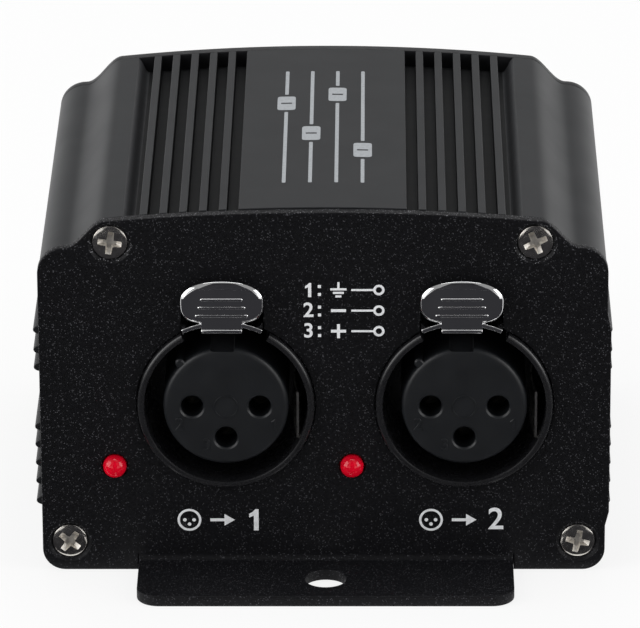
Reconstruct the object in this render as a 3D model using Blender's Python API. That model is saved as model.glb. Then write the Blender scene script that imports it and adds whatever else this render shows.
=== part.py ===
# USB to DMX interface: a finned aluminium extrusion closed by two bent steel end plates.
# The front plate carries two three-pin female sockets with push latches and two lamps,
# and the rear plate a USB type B socket. One circuit board slides in the extrusion's slots.
#
# Units are metres. X runs along the front from left to right, Y from the front plate to
# the rear plate and Z up. The origin is on the ground, in the middle of the footprint.

import math

import bmesh
import bpy
from mathutils import Matrix, Vector
from mathutils.geometry import tessellate_polygon

MM = 0.001
GAP = 0.3 * MM

# Facets of round shapes
RING_SIDES = 48
ROUND_SIDES = 24
SMALL_SIDES = 16
TINY_SIDES = 12
WIRE_SIDES = 6

# Overall form of the box
BODY_LENGTH = 65.8 * MM
FRONT = -BODY_LENGTH / 2
CROWN_HEIGHT = 51.55 * MM
CROWN_RADIUS = 278.0 * MM
PLATE_CROWN_HEIGHT = 51.4 * MM
PLATE_CROWN_RADIUS = 330.0 * MM
BODY_HALF_WIDTH = 37.75 * MM
SHOULDER_START = 28.65 * MM
SHOULDER_END = 34.05 * MM
SHOULDER_HEIGHT = 46.4 * MM
BASE_CORNER_RADIUS = 3.0 * MM

# Bent end plates and their ears
SHEET = 1.5 * MM
EAR_LENGTH = 12.05 * MM
EAR_WIDTH = 50.3 * MM
EAR_OFFSET = 0.3 * MM
EAR_CORNER_RADIUS = 3.0 * MM
EAR_HOLE_RADIUS = 2.75 * MM
EAR_HOLE_REACH = 6.25 * MM
EAR_RELIEF = 0.6 * MM
BEND_INNER_RADIUS = 0.3 * MM
BEND_BACKING = 2.5 * MM

# Extrusion
WALL = 1.8 * MM
FIN_COUNT = 5
FIN_WIDTH = 1.05 * MM
FIN_PITCH = 2.62 * MM
FIRST_FIN = 13.17 * MM
PANEL_HALF_WIDTH = 11.1 * MM
GROOVE_DEPTH = 2.3 * MM
RECESS_FLOOR_END = 25.5 * MM
RECESS_WALL_TOP = 26.7 * MM
CROWN_WALL = 3.9 * MM
RIB_HEIGHTS = [9.45 * MM, 12.35 * MM, 15.0 * MM, 17.65 * MM, 20.2 * MM, 28.8 * MM, 31.3 * MM, 34.15 * MM]
RIB_REACH = 0.8 * MM
RIB_HALF_WIDTH = 0.65 * MM
SLOT_REACH = 33.2 * MM
SLOT_LOW = 8.1 * MM
SLOT_HIGH = 10.3 * MM
LEDGE = 1.0 * MM

# Screws that hold the plates on, and the channels that they run in
SCREW_TOP_X = 28.08 * MM
SCREW_TOP_Z = 47.05 * MM
SCREW_BASE_X = 34.1 * MM
SCREW_BASE_Z = 4.1 * MM
SCREW_LENGTH = 10.5 * MM
SCREW_HEAD_RADIUS = 2.375 * MM
SCREW_SHANK_RADIUS = 1.25 * MM
CROSS_SPAN = 1.62 * MM
CROSS_HALF_WIDTH = 0.4 * MM
CROSS_DEPTH = 1.0 * MM
CHANNEL_RADIUS = 1.7 * MM
CHANNEL_WALL = 1.6 * MM
DISH_RADIUS = 3.0 * MM
DISH_HOLE_RADIUS = 1.6 * MM
SCREW_TURNS = [8, -24, 38, 12, 20, -10, 45, 30]

# Three-pin sockets
SOCKET_HEIGHT = 24.1 * MM
SOCKET_LEFT_X = -12.94 * MM
SOCKET_SPACING = 31.73 * MM
RING_RADIUS = 11.8 * MM
RING_BORE = 10.85 * MM
RING_PROUD = 1.0 * MM
RING_GAP_HALF_ANGLE = math.radians(30)
SOCKET_DEPTH = 13.0 * MM
SHELL_HALF_WIDTH = 12.4 * MM
SHELL_BOTTOM = -13.8 * MM
SHELL_TOP = 17.5 * MM
SHELL_BACK = 20.0 * MM
INSERT_RADIUS = 8.35 * MM
INSERT_FRONT = -0.9 * MM
SPIGOT_RADIUS = 6.7 * MM
PIN_CIRCLE_RADIUS = 4.5 * MM
PIN_HOLE_RADIUS = 1.5 * MM
CONTACT_RADIUS = 1.45 * MM
CONTACT_BORE = 1.2 * MM
CONTACT_FRONT = 1.8 * MM
TAIL_REACH = 22.6 * MM
TAIL_RADIUS = 0.4 * MM

# Push latch of a socket, measured from the socket's axis and the front plate's face
LATCH_OFFSET = -0.4 * MM
LATCH_PIVOT_Y = 13.5 * MM
LATCH_PIVOT_Z = 12.6 * MM
TAB_FRONT = -2.9 * MM
TAB_THICKNESS = 0.7 * MM
TAB_HALF_WIDTH = 5.5 * MM
TAB_LOW = 12.45 * MM
TAB_HIGH = 18.5 * MM
SADDLE_RADIUS = 12.9 * MM
SADDLE_THICKNESS = 0.6 * MM
SADDLE_HALF_ANGLE = math.radians(25.5)
SADDLE_BACK = 12.4 * MM
TONGUE_HALF_WIDTH = 2.7 * MM
TONGUE_LOW = 11.3 * MM
HOOK_TIP = 8.95 * MM
LATCH_BORE = 0.8 * MM
LATCH_PIN_RADIUS = 0.5 * MM
CHANNEL_HALF_WIDTH = 5.9 * MM
CHANNEL_ROOF = 16.2 * MM
LATCH_SLOT_TOP = 15.9 * MM

# Lamps
LAMP_RADIUS = 1.5 * MM
LAMP_LEFT_X = -27.9 * MM
LAMP_HEIGHT = 15.4 * MM
LAMP_PROUD = 1.2 * MM
LAMP_LENGTH = 5.3 * MM
LAMP_FLANGE_RADIUS = 1.9 * MM
LAMP_LEG_RADIUS = 0.25 * MM
LAMP_LEG_PITCH = 2.54 * MM
LAMP_LEG_DROP = 6.6 * MM

# Circuit board and the USB socket on it
BOARD_TOP = 10.0 * MM
BOARD_THICKNESS = 1.6 * MM
BOARD_HALF_WIDTH = 35.4 * MM
BOARD_HALF_LENGTH = 30.7 * MM
TAIL_PROUD = 1.0 * MM
USB_HALF_WIDTH = 6.0 * MM
USB_HEIGHT = 10.8 * MM
USB_LENGTH = 16.4 * MM
USB_WALL = 0.5 * MM
USB_PROUD = 0.4 * MM
USB_MOUTH_HALF_WIDTH = 4.2 * MM
USB_MOUTH_HALF_HEIGHT = 3.9 * MM
USB_MOUTH_CHAMFER = 1.6 * MM
USB_MOUTH_DEPTH = 9.0 * MM
USB_TONGUE_HALF_WIDTH = 2.8 * MM
USB_TONGUE_HALF_HEIGHT = 1.6 * MM


def clear_scene():
    for old in list(bpy.data.objects):
        bpy.data.objects.remove(old, do_unlink=True)


def finish(name, colour, roughness, metallic=0.0):
    """A plain Principled material."""
    made = bpy.data.materials.new(name)
    made.use_nodes = True
    shader = made.node_tree.nodes["Principled BSDF"]
    shader.inputs["Base Color"].default_value = (*colour, 1.0)
    shader.inputs["Roughness"].default_value = roughness
    shader.inputs["Metallic"].default_value = metallic
    made.diffuse_color = (*colour, 1.0)
    return made


def place(name, mesh, made_of, location=(0, 0, 0), rotation=(0, 0, 0), smooth=None):
    """Put a mesh in the scene as one named piece."""
    piece = bpy.data.objects.new(name, mesh)
    piece.location = location
    piece.rotation_euler = rotation
    if not mesh.materials:
        mesh.materials.append(made_of)
    if smooth is not None:
        mesh.shade_smooth()
        mesh.set_sharp_from_angle(angle=math.radians(smooth))
    bpy.context.scene.collection.objects.link(piece)
    return piece


def mesh_from(shape):
    """Turn a bmesh into a mesh whose faces point out."""
    bmesh.ops.recalc_face_normals(shape, faces=shape.faces)
    mesh = bpy.data.meshes.new("shape")
    shape.to_mesh(mesh)
    shape.free()
    return mesh


def on_axis(axis, u, v, along):
    """Place a flat point (u, v) at a distance along X, Y or Z."""
    if axis == "X":
        return (along, u, v)
    if axis == "Y":
        return (u, along, v)
    return (u, v, along)


def prism(axis, low, high, outline, *holes):
    """A flat outline with holes, carried along an axis from low to high."""
    loops = [outline, *holes]
    shape = bmesh.new()
    bottom = []
    top = []
    for loop in loops:
        bottom.append([shape.verts.new(on_axis(axis, u, v, low)) for u, v in loop])
        top.append([shape.verts.new(on_axis(axis, u, v, high)) for u, v in loop])
    flat = [[Vector((u, v, 0)) for u, v in loop] for loop in loops]
    low_points = [point for loop in bottom for point in loop]
    high_points = [point for loop in top for point in loop]
    for a, b, c in tessellate_polygon(flat):
        shape.faces.new((low_points[a], low_points[b], low_points[c]))
        shape.faces.new((high_points[c], high_points[b], high_points[a]))
    for low_loop, high_loop in zip(bottom, top):
        for i in range(len(low_loop)):
            j = (i + 1) % len(low_loop)
            shape.faces.new((low_loop[i], low_loop[j], high_loop[j], high_loop[i]))
    return mesh_from(shape)


def lathe(profile, sides, centre=(0, 0), axis="Y"):
    """Turn a profile of (radius, distance along the axis) whose ends lie on the axis."""
    shape = bmesh.new()
    rings = []
    for radius, along in profile:
        if radius == 0:
            rings.append([shape.verts.new(on_axis(axis, centre[0], centre[1], along))])
            continue
        ring = []
        for i in range(sides):
            turn = 2 * math.pi * i / sides
            u = centre[0] + radius * math.cos(turn)
            v = centre[1] + radius * math.sin(turn)
            ring.append(shape.verts.new(on_axis(axis, u, v, along)))
        rings.append(ring)
    for first, second in zip(rings, rings[1:]):
        for i in range(sides):
            j = (i + 1) % sides
            corners = [first[i % len(first)], first[j % len(first)]]
            corners += [second[j % len(second)], second[i % len(second)]]
            corners = list(dict.fromkeys(corners))
            shape.faces.new(corners)
    return mesh_from(shape)


def sweep(route, radius, sides):
    """A round wire along a route, with flat ends."""
    shape = bmesh.new()
    rings = []
    for i, point in enumerate(route):
        before = route[max(i - 1, 0)]
        after = route[min(i + 1, len(route) - 1)]
        heading = (Vector(after) - Vector(before)).normalized()
        side = heading.cross(Vector((1, 0, 0)))
        if side.length < 0.3:
            side = heading.cross(Vector((0, 1, 0)))
        side.normalize()
        other = heading.cross(side)
        ring = []
        for k in range(sides):
            turn = 2 * math.pi * k / sides
            offset = side * math.cos(turn) * radius + other * math.sin(turn) * radius
            ring.append(shape.verts.new(Vector(point) + offset))
        rings.append(ring)
    for first, second in zip(rings, rings[1:]):
        for k in range(sides):
            j = (k + 1) % sides
            shape.faces.new((first[k], first[j], second[j], second[k]))
    shape.faces.new(rings[0][::-1])
    shape.faces.new(rings[-1])
    return mesh_from(shape)


def block(low, high):
    """A box between two corners."""
    outline = rectangle(low[0], low[2], high[0], high[2])
    return prism("Y", low[1], high[1], outline)


def welded(mesh):
    """Merge points less than a micron apart, which a cut can leave along its edges."""
    shape = bmesh.new()
    shape.from_mesh(mesh)
    bmesh.ops.remove_doubles(shape, verts=shape.verts, dist=0.001 * MM)
    shape.to_mesh(mesh)
    shape.free()
    return mesh


def combine(operation, base, *tools):
    """Cut tools from a mesh, or join them to it, one after the other."""
    for tool in tools:
        holder = bpy.data.objects.new("holder", base)
        other = bpy.data.objects.new("other", tool)
        for helper in (holder, other):
            bpy.context.scene.collection.objects.link(helper)
        modifier = holder.modifiers.new("combine", "BOOLEAN")
        modifier.operation = operation
        modifier.solver = "EXACT"
        modifier.object = other
        evaluated = holder.evaluated_get(bpy.context.evaluated_depsgraph_get())
        result = bpy.data.meshes.new_from_object(evaluated)
        for helper in (holder, other):
            bpy.data.objects.remove(helper)
        base = welded(result)
    return base


def cut(base, *tools):
    return combine("DIFFERENCE", base, *tools)


def join(base, *tools):
    return combine("UNION", base, *tools)


def overlap(base, *tools):
    return combine("INTERSECT", base, *tools)


def moved(mesh, x, y, z):
    mesh.transform(Matrix.Translation((x, y, z)))
    return mesh


def flipped(mesh):
    """The same shape turned end for end, front to rear."""
    mesh.transform(Matrix.Scale(-1, 4, (0, 1, 0)))
    mesh.flip_normals()
    return mesh


def rectangle(left, low, right, high):
    return [(left, low), (right, low), (right, high), (left, high)]


def arc(centre, radius, start, end, steps):
    """Points on an arc, angles in degrees."""
    points = []
    for i in range(steps + 1):
        turn = math.radians(start + (end - start) * i / steps)
        points.append((centre[0] + radius * math.cos(turn), centre[1] + radius * math.sin(turn)))
    return points


def circle(centre, radius, sides):
    return arc(centre, radius, 0, 360, sides)[:-1]


def mirrored(half):
    """Close a right half, from the crown to the base, with its mirror image."""
    left = [(-x, z) for x, z in reversed(half) if abs(x) > 1e-9]
    return half + left


def crown(x):
    """Height of the extrusion's domed top."""
    return CROWN_HEIGHT - x * x / (2 * CROWN_RADIUS)


def plate_crown(x):
    """Height of a plate's top edge, which is a little flatter than the extrusion's dome."""
    return PLATE_CROWN_HEIGHT - x * x / (2 * PLATE_CROWN_RADIUS)


def shoulder_and_corner(top):
    """From the dome, at a height, over the S-shaped shoulder and the upper corner to the side."""
    points = []
    steps = 8
    for i in range(steps + 1):
        share = i / steps
        height = SHOULDER_HEIGHT + (top - SHOULDER_HEIGHT) * (1 + math.cos(math.pi * share)) / 2
        points.append((SHOULDER_START + (SHOULDER_END - SHOULDER_START) * share, height))
    radius = BODY_HALF_WIDTH - SHOULDER_END
    points += arc((SHOULDER_END, SHOULDER_HEIGHT - radius), radius, 90, 0, 6)[1:]
    return points


def base_corner():
    centre = (BODY_HALF_WIDTH - BASE_CORNER_RADIUS, BASE_CORNER_RADIUS)
    return arc(centre, BASE_CORNER_RADIUS, 0, -90, 5)


def screw_places():
    """Centres of the four screws of one plate."""
    upper = [(-SCREW_TOP_X, SCREW_TOP_Z), (SCREW_TOP_X, SCREW_TOP_Z)]
    lower = [(-SCREW_BASE_X, SCREW_BASE_Z), (SCREW_BASE_X, SCREW_BASE_Z)]
    return upper + lower


def socket_centres():
    return [("left", SOCKET_LEFT_X), ("right", SOCKET_LEFT_X + SOCKET_SPACING)]


def lamp_centres():
    return [("left", LAMP_LEFT_X), ("right", LAMP_LEFT_X + SOCKET_SPACING)]


def contact_places():
    """Contacts 1 and 2 sit to the right and left of the axis, and contact 3 below it."""
    return [(PIN_CIRCLE_RADIUS, 0.0), (-PIN_CIRCLE_RADIUS, 0.0), (0.0, -PIN_CIRCLE_RADIUS)]


def extrusion_outline():
    """Outer outline of the extrusion: fins on the dome and ribs on the sides."""
    half = []
    steps = 4
    for i in range(steps + 1):
        x = PANEL_HALF_WIDTH * i / steps
        half.append((x, crown(x)))
    half.append((PANEL_HALF_WIDTH, crown(PANEL_HALF_WIDTH) - GROOVE_DEPTH))
    for i in range(FIN_COUNT):
        left = FIRST_FIN + FIN_PITCH * i - FIN_WIDTH / 2
        right = left + FIN_WIDTH
        half.append((left, crown(left) - GROOVE_DEPTH))
        half.append((left, crown(left)))
        half.append((right, crown(right)))
        half.append((right, crown(right) - GROOVE_DEPTH))
    half.append((RECESS_FLOOR_END, crown(RECESS_FLOOR_END) - GROOVE_DEPTH))
    half.append((RECESS_WALL_TOP, crown(RECESS_WALL_TOP)))
    half += shoulder_and_corner(crown(SHOULDER_START))
    side = BODY_HALF_WIDTH
    for height in reversed(RIB_HEIGHTS):
        half.append((side, height + RIB_HALF_WIDTH))
        half.append((side + RIB_REACH * 0.8, height + RIB_HALF_WIDTH * 0.5))
        half.append((side + RIB_REACH, height))
        half.append((side + RIB_REACH * 0.8, height - RIB_HALF_WIDTH * 0.5))
        half.append((side, height - RIB_HALF_WIDTH))
    half += base_corner()
    return mirrored(half)


def extrusion_bore():
    """Inner outline: walls, board slots and the lumps that carry the screw channels."""
    inner = BODY_HALF_WIDTH - WALL
    roof = SHOULDER_HEIGHT - WALL
    corner = BODY_HALF_WIDTH - SHOULDER_END - WALL
    around = CHANNEL_RADIUS + CHANNEL_WALL
    half = []
    steps = 4
    for i in range(steps + 1):
        x = (SCREW_TOP_X - around) * i / steps
        half.append((x, crown(x) - CROWN_WALL))
    half += arc((SCREW_TOP_X, SCREW_TOP_Z), around, 195, 300, 6)
    half.append((SCREW_TOP_X + around, roof))
    half += arc((inner - corner, roof - corner), corner, 90, 0, 4)
    half.append((inner, SLOT_HIGH + LEDGE))
    half.append((SLOT_REACH, SLOT_HIGH + LEDGE))
    half.append((SLOT_REACH, SLOT_HIGH))
    half.append((inner, SLOT_HIGH))
    half.append((inner, SLOT_LOW))
    half.append((SLOT_REACH, SLOT_LOW))
    half.append((SLOT_REACH, SLOT_LOW - LEDGE))
    half += arc((SCREW_BASE_X, SCREW_BASE_Z), around, 120, 180, 4)
    half.append((SCREW_BASE_X - around, WALL))
    return mirrored(half)


def make_housing(made_of):
    low = FRONT + SHEET + GAP
    channels = [circle(centre, CHANNEL_RADIUS, TINY_SIDES) for centre in screw_places()]
    mesh = prism("Y", low, -low, extrusion_outline(), extrusion_bore(), *channels)
    place("extruded_housing", mesh, made_of)


def plate_outline():
    """Outline of an end plate, with the bottom edge set back where the ear is bent out."""
    half = []
    steps = 8
    for i in range(steps):
        x = SHOULDER_START * i / steps
        half.append((x, plate_crown(x)))
    half += shoulder_and_corner(plate_crown(SHOULDER_START))
    half += base_corner()
    right = EAR_OFFSET + EAR_WIDTH / 2 - EAR_RELIEF
    left = EAR_OFFSET - EAR_WIDTH / 2 + EAR_RELIEF
    notch = [(right, 0.0), (right, BEND_BACKING), (left, BEND_BACKING), (left, 0.0)]
    return half + notch + [(-x, z) for x, z in reversed(half) if x > 0]


def ear():
    """The bent ear, with its front face at y = 0 and the ear running to negative y."""
    outer = BEND_INNER_RADIUS + SHEET
    bend = (-BEND_INNER_RADIUS, outer)
    section = [(-EAR_LENGTH, 0.0)]
    section += arc(bend, outer, -90, 0, 6)
    section += [(SHEET, BEND_BACKING + SHEET / 2), (0.0, BEND_BACKING + SHEET / 2)]
    section += arc(bend, BEND_INNER_RADIUS, 0, -90, 3)
    section.append((-EAR_LENGTH, SHEET))
    left = EAR_OFFSET - EAR_WIDTH / 2
    right = EAR_OFFSET + EAR_WIDTH / 2
    bent = prism("X", left - MM, right + MM, section)
    near = EAR_CORNER_RADIUS - EAR_LENGTH
    plan = [(right, SHEET + MM), (left, SHEET + MM)]
    plan += arc((left + EAR_CORNER_RADIUS, near), EAR_CORNER_RADIUS, 180, 270, 6)
    plan += arc((right - EAR_CORNER_RADIUS, near), EAR_CORNER_RADIUS, 270, 360, 6)
    rounded = overlap(bent, prism("Z", -MM, 5 * MM, plan))
    hole = prism("Z", -MM, 5 * MM, circle((EAR_OFFSET, -EAR_HOLE_REACH), EAR_HOLE_RADIUS, ROUND_SIDES))
    return cut(rounded, hole)


def socket_opening(x):
    """Round plate opening of a socket, with the latch's slot at its top."""
    radius = RING_RADIUS + 0.25 * MM
    reach = CHANNEL_HALF_WIDTH + 0.2 * MM
    right = LATCH_OFFSET + reach
    left = LATCH_OFFSET - reach
    start = math.degrees(math.acos(right / radius))
    end = math.degrees(math.acos(left / radius))
    around = arc((0.0, 0.0), radius, start, end - 360, 34)
    slot = [(left, LATCH_SLOT_TOP), (right, LATCH_SLOT_TOP)]
    return [(x + u, SOCKET_HEIGHT + v) for u, v in around + slot]


def dish(x, z):
    """Cutter for a screw's hole and the dished seat around it."""
    over = 0.5 * MM
    deep = DISH_RADIUS - DISH_HOLE_RADIUS
    profile = [(0, -over), (DISH_RADIUS + over, -over), (DISH_HOLE_RADIUS, deep)]
    profile += [(DISH_HOLE_RADIUS, deep + MM), (0, deep + MM)]
    return lathe(profile, SMALL_SIDES, (x, z))


def plate(*openings):
    """An end plate with its front face at y = 0."""
    sheet = prism("Y", 0.0, SHEET, plate_outline(), *openings)
    sheet = join(sheet, ear())
    return cut(sheet, *[dish(x, z) for x, z in screw_places()])


def make_front_plate(made_of):
    openings = [socket_opening(x) for side, x in socket_centres()]
    for side, x in lamp_centres():
        openings.append(circle((x, LAMP_HEIGHT), LAMP_RADIUS + 0.2 * MM, SMALL_SIDES))
    mesh = plate(*openings)
    place("front_plate", mesh, made_of, (0, FRONT, 0))


def make_rear_plate(made_of):
    low = BOARD_TOP
    high = BOARD_TOP + GAP + USB_HEIGHT + GAP
    side = USB_HALF_WIDTH + GAP
    mesh = flipped(plate(rectangle(-side, low, side, high)))
    place("rear_plate", mesh, made_of, (0, -FRONT, 0))


def make_screws(made_of):
    rim = 0.5 * MM
    cone = SCREW_HEAD_RADIUS - SCREW_SHANK_RADIUS
    profile = [(0, 0.05 * MM), (1.8 * MM, 0.18 * MM), (2.25 * MM, 0.34 * MM), (SCREW_HEAD_RADIUS, rim)]
    profile += [(SCREW_SHANK_RADIUS, rim + cone), (SCREW_SHANK_RADIUS, SCREW_LENGTH - 0.5 * MM)]
    profile += [(0.8 * MM, SCREW_LENGTH), (0, SCREW_LENGTH)]
    root = CROSS_HALF_WIDTH + 0.1 * MM
    tip = CROSS_HALF_WIDTH
    span = CROSS_SPAN
    cross = [(root, root), (tip, span), (-tip, span), (-root, root), (-span, tip), (-span, -tip)]
    cross += [(-u, -v) for u, v in cross]
    driver = prism("Y", -MM, CROSS_DEPTH, cross)
    mesh = cut(lathe(profile, SMALL_SIDES), driver)
    names = ["upper_left", "upper_right", "lower_left", "lower_right"]
    turns = iter(SCREW_TURNS)
    for end, y, heading in (("front", FRONT, 0.0), ("rear", -FRONT, math.pi)):
        for name, (x, z) in zip(names, screw_places()):
            spin = math.radians(next(turns))
            place(f"{end}_screw_{name}", mesh, made_of, (x, y, z), (0, spin, heading), 40)


def socket_shell():
    """Moulded shell of a socket. Its axis is the Y axis and the plate's face is y = 0."""
    front = SHEET + GAP
    body = block((-SHELL_HALF_WIDTH, front, SHELL_BOTTOM), (SHELL_HALF_WIDTH, SHELL_BACK, SHELL_TOP))
    chamfer = 0.25 * MM
    nose = [(0, -RING_PROUD), (RING_RADIUS - chamfer, -RING_PROUD), (RING_RADIUS, chamfer - RING_PROUD)]
    nose += [(RING_RADIUS, front + 3 * MM), (0, front + 3 * MM)]
    body = join(body, lathe(nose, RING_SIDES))
    bore = [(0, -2 * MM), (RING_BORE + chamfer, -2 * MM), (RING_BORE + chamfer, -RING_PROUD)]
    bore += [(RING_BORE, chamfer - RING_PROUD), (RING_BORE, SOCKET_DEPTH), (0, SOCKET_DEPTH)]
    reach = 16 * MM
    tip = math.tan(RING_GAP_HALF_ANGLE) * reach
    ring_gap = prism("Y", -2 * MM, front, [(0.0, 0.0), (tip, reach), (-tip, reach)])
    left = LATCH_OFFSET - CHANNEL_HALF_WIDTH
    right = LATCH_OFFSET + CHANNEL_HALF_WIDTH
    channel = block((left, front - MM, 6 * MM), (right, SHELL_BACK - 2 * MM, CHANNEL_ROOF))
    spigot = circle((0, 0), SPIGOT_RADIUS + GAP, ROUND_SIDES)
    spigot_hole = prism("Y", SOCKET_DEPTH - MM, SHELL_BACK + MM, spigot)
    pivot = (LATCH_PIVOT_Y, LATCH_PIVOT_Z)
    pin_holes = prism("X", left - 2 * MM, right + 2 * MM, circle(pivot, LATCH_PIN_RADIUS + GAP, TINY_SIDES))
    return cut(body, lathe(bore, RING_SIDES), ring_gap, channel, spigot_hole, pin_holes)


def socket_insert():
    """Insulator with three contact holes, a key rib and a notch under the latch's hook."""
    front = INSERT_FRONT
    seat = SOCKET_DEPTH - GAP
    profile = [(0, front), (INSERT_RADIUS - 0.7 * MM, front), (INSERT_RADIUS - 0.25 * MM, front + 0.2 * MM)]
    profile += [(INSERT_RADIUS, front + 0.7 * MM), (INSERT_RADIUS, seat), (SPIGOT_RADIUS, seat)]
    profile += [(SPIGOT_RADIUS, SHELL_BACK + MM), (0, SHELL_BACK + MM)]
    body = lathe(profile, RING_SIDES)
    key = block((-0.6 * MM, front + 0.3 * MM, 7.5 * MM), (0.6 * MM, seat, 9.2 * MM))
    key.transform(Matrix.Rotation(math.radians(-45), 4, "Y"))
    body = join(body, key)
    notch_x = LATCH_OFFSET
    notch = block((notch_x - 1.6 * MM, -2 * MM, 7.85 * MM), (notch_x + 1.6 * MM, 9 * MM, 10 * MM))
    holes = []
    step = CONTACT_FRONT - GAP
    for x, z in contact_places():
        hole = [(0, -2 * MM), (PIN_HOLE_RADIUS, -2 * MM), (PIN_HOLE_RADIUS, step)]
        hole += [(CONTACT_RADIUS + GAP, step), (CONTACT_RADIUS + GAP, SHELL_BACK + 2 * MM)]
        hole.append((0, SHELL_BACK + 2 * MM))
        holes.append(lathe(hole, TINY_SIDES, (x, z)))
    return cut(body, notch, *holes)


def socket_contact(drop):
    """Turned contact with a blind bore and a tail bent down into the board."""
    back = SHELL_BACK + 1.2 * MM
    bore_end = CONTACT_FRONT + 11 * MM
    lead = 0.2 * MM
    profile = [(0, bore_end), (CONTACT_BORE, bore_end), (CONTACT_BORE, CONTACT_FRONT + lead)]
    profile += [(CONTACT_BORE + lead, CONTACT_FRONT), (CONTACT_RADIUS, CONTACT_FRONT + lead)]
    profile += [(CONTACT_RADIUS, back), (0, back)]
    body = lathe(profile, TINY_SIDES)
    bend = 0.5 * MM
    route = [(0, back - 0.5 * MM, 0), (0, TAIL_REACH - bend, 0), (0, TAIL_REACH, -bend), (0, TAIL_REACH, -drop)]
    return join(body, sweep(route, TAIL_RADIUS, WIRE_SIDES))


def ground_spring():
    """Thin leaf beside the insert that touches the plug's shell."""
    thick = 0.3 * MM
    stand = 9.4 * MM
    bow = 0.5 * MM
    front = 0.4 * MM
    back = SOCKET_DEPTH - GAP
    low = -4.7 * MM
    high = 2.6 * MM
    steps = 6
    inner = []
    outer = []
    for i in range(steps + 1):
        share = i / steps
        y = front + (back - front) * share
        x = stand - bow * math.sin(math.pi * share)
        inner.append((x, y))
        outer.append((x + thick, y))
    return prism("Z", low, high, inner + outer[::-1])


def latch_tab_outline():
    """Rounded shield of the tab, fuller at the bottom than at the top, with its tongue."""
    middle = (TAB_LOW + TAB_HIGH) / 2
    half_height = (TAB_HIGH - TAB_LOW) / 2
    points = []
    steps = 28
    for i in range(steps):
        turn = 2 * math.pi * i / steps
        fullness = 2.3 if math.sin(turn) >= 0 else 3.2
        u = math.copysign(abs(math.cos(turn)) ** (2 / fullness), math.cos(turn))
        v = math.copysign(abs(math.sin(turn)) ** (2 / fullness), math.sin(turn))
        points.append((TAB_HALF_WIDTH * u, middle + half_height * v))
    return points


def latch_shape():
    """Chromed lever: tab, saddle over the ring, hook and two pivot eyes."""
    tab_back = TAB_FRONT + TAB_THICKNESS
    tab = prism("Y", TAB_FRONT, tab_back, latch_tab_outline())
    tongue_outline = rectangle(-TONGUE_HALF_WIDTH, TONGUE_LOW, TONGUE_HALF_WIDTH, TAB_LOW + MM)
    tongue = prism("Y", TAB_FRONT, tab_back, tongue_outline)
    half_turn = math.degrees(SADDLE_HALF_ANGLE)
    upper = arc((0, 0), SADDLE_RADIUS, 90 - half_turn, 90 + half_turn, 8)
    under = arc((0, 0), SADDLE_RADIUS - SADDLE_THICKNESS, 90 + half_turn, 90 - half_turn, 8)
    saddle = prism("Y", TAB_FRONT + 0.15 * MM, SADDLE_BACK, upper + under)
    pivot = (LATCH_PIVOT_Y, LATCH_PIVOT_Z)
    eye_radius = LATCH_BORE + 0.7 * MM
    eye = [(SADDLE_BACK - 3 * MM, 11.2 * MM)]
    eye += arc(pivot, eye_radius, -90, 90, 8)
    eye.append((SADDLE_BACK - 3 * MM, 12.4 * MM))
    near = 4.3 * MM
    far = 5.4 * MM
    eyes = [prism("X", start, start + far - near, eye) for start in (-far, near)]
    hook_section = [(6.2 * MM, 12.7 * MM), (6.8 * MM, HOOK_TIP), (7.5 * MM, HOOK_TIP), (8.2 * MM, 12.7 * MM)]
    hook = prism("X", -1.3 * MM, 1.3 * MM, hook_section)
    lever = join(tab, tongue, saddle, *eyes, hook)
    bore = prism("X", -10 * MM, 10 * MM, circle(pivot, LATCH_BORE, TINY_SIDES))
    return moved(cut(lever, bore), 0, -LATCH_PIVOT_Y, -LATCH_PIVOT_Z)


def latch_spring():
    """Small compression spring between the saddle and the channel's roof."""
    wire = 0.17 * MM
    radius = 0.95 * MM
    turns = 4.5
    low = SADDLE_RADIUS + 0.5 * MM + wire
    high = CHANNEL_ROOF - GAP - wire
    steps = 32
    route = []
    for i in range(steps + 1):
        share = i / steps
        turn = 2 * math.pi * turns * share
        x = radius * math.cos(turn)
        y = radius * math.sin(turn)
        route.append((x, y, low + (high - low) * share))
    return sweep(route, wire, WIRE_SIDES)


def make_sockets(black, inner_black, silver, gold, chrome, steel):
    shell = socket_shell()
    insert = socket_insert()
    leaf = ground_spring()
    lever = latch_shape()
    pin_half = CHANNEL_HALF_WIDTH + 1.5 * MM
    pin_profile = [(0, -pin_half), (LATCH_PIN_RADIUS, -pin_half), (LATCH_PIN_RADIUS, pin_half), (0, pin_half)]
    pin = lathe(pin_profile, TINY_SIDES, axis="X")
    coil = latch_spring()
    tail_end = BOARD_TOP - BOARD_THICKNESS - TAIL_PROUD
    tails = []
    for x, z in contact_places():
        tails.append(socket_contact(SOCKET_HEIGHT + z - tail_end))
    for side, x in socket_centres():
        origin = Vector((x, FRONT, SOCKET_HEIGHT))
        place(f"xlr_shell_{side}", shell, black, origin, smooth=30)
        place(f"xlr_insert_{side}", insert, inner_black, origin, smooth=30)
        for number, (u, v) in enumerate(contact_places(), start=1):
            spot = origin + Vector((u, 0, v))
            place(f"xlr_contact_{number}_{side}", tails[number - 1], silver, spot, smooth=40)
        place(f"xlr_ground_spring_{side}", leaf, gold, origin)
        pivot = origin + Vector((LATCH_OFFSET, LATCH_PIVOT_Y, LATCH_PIVOT_Z))
        place(f"latch_{side}", lever, chrome, pivot, smooth=30)
        place(f"latch_pin_{side}", pin, steel, pivot, smooth=40)
        seat = origin + Vector((LATCH_OFFSET, SADDLE_BACK - 1.2 * MM, 0))
        place(f"latch_spring_{side}", coil, steel, seat, smooth=40)


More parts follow.
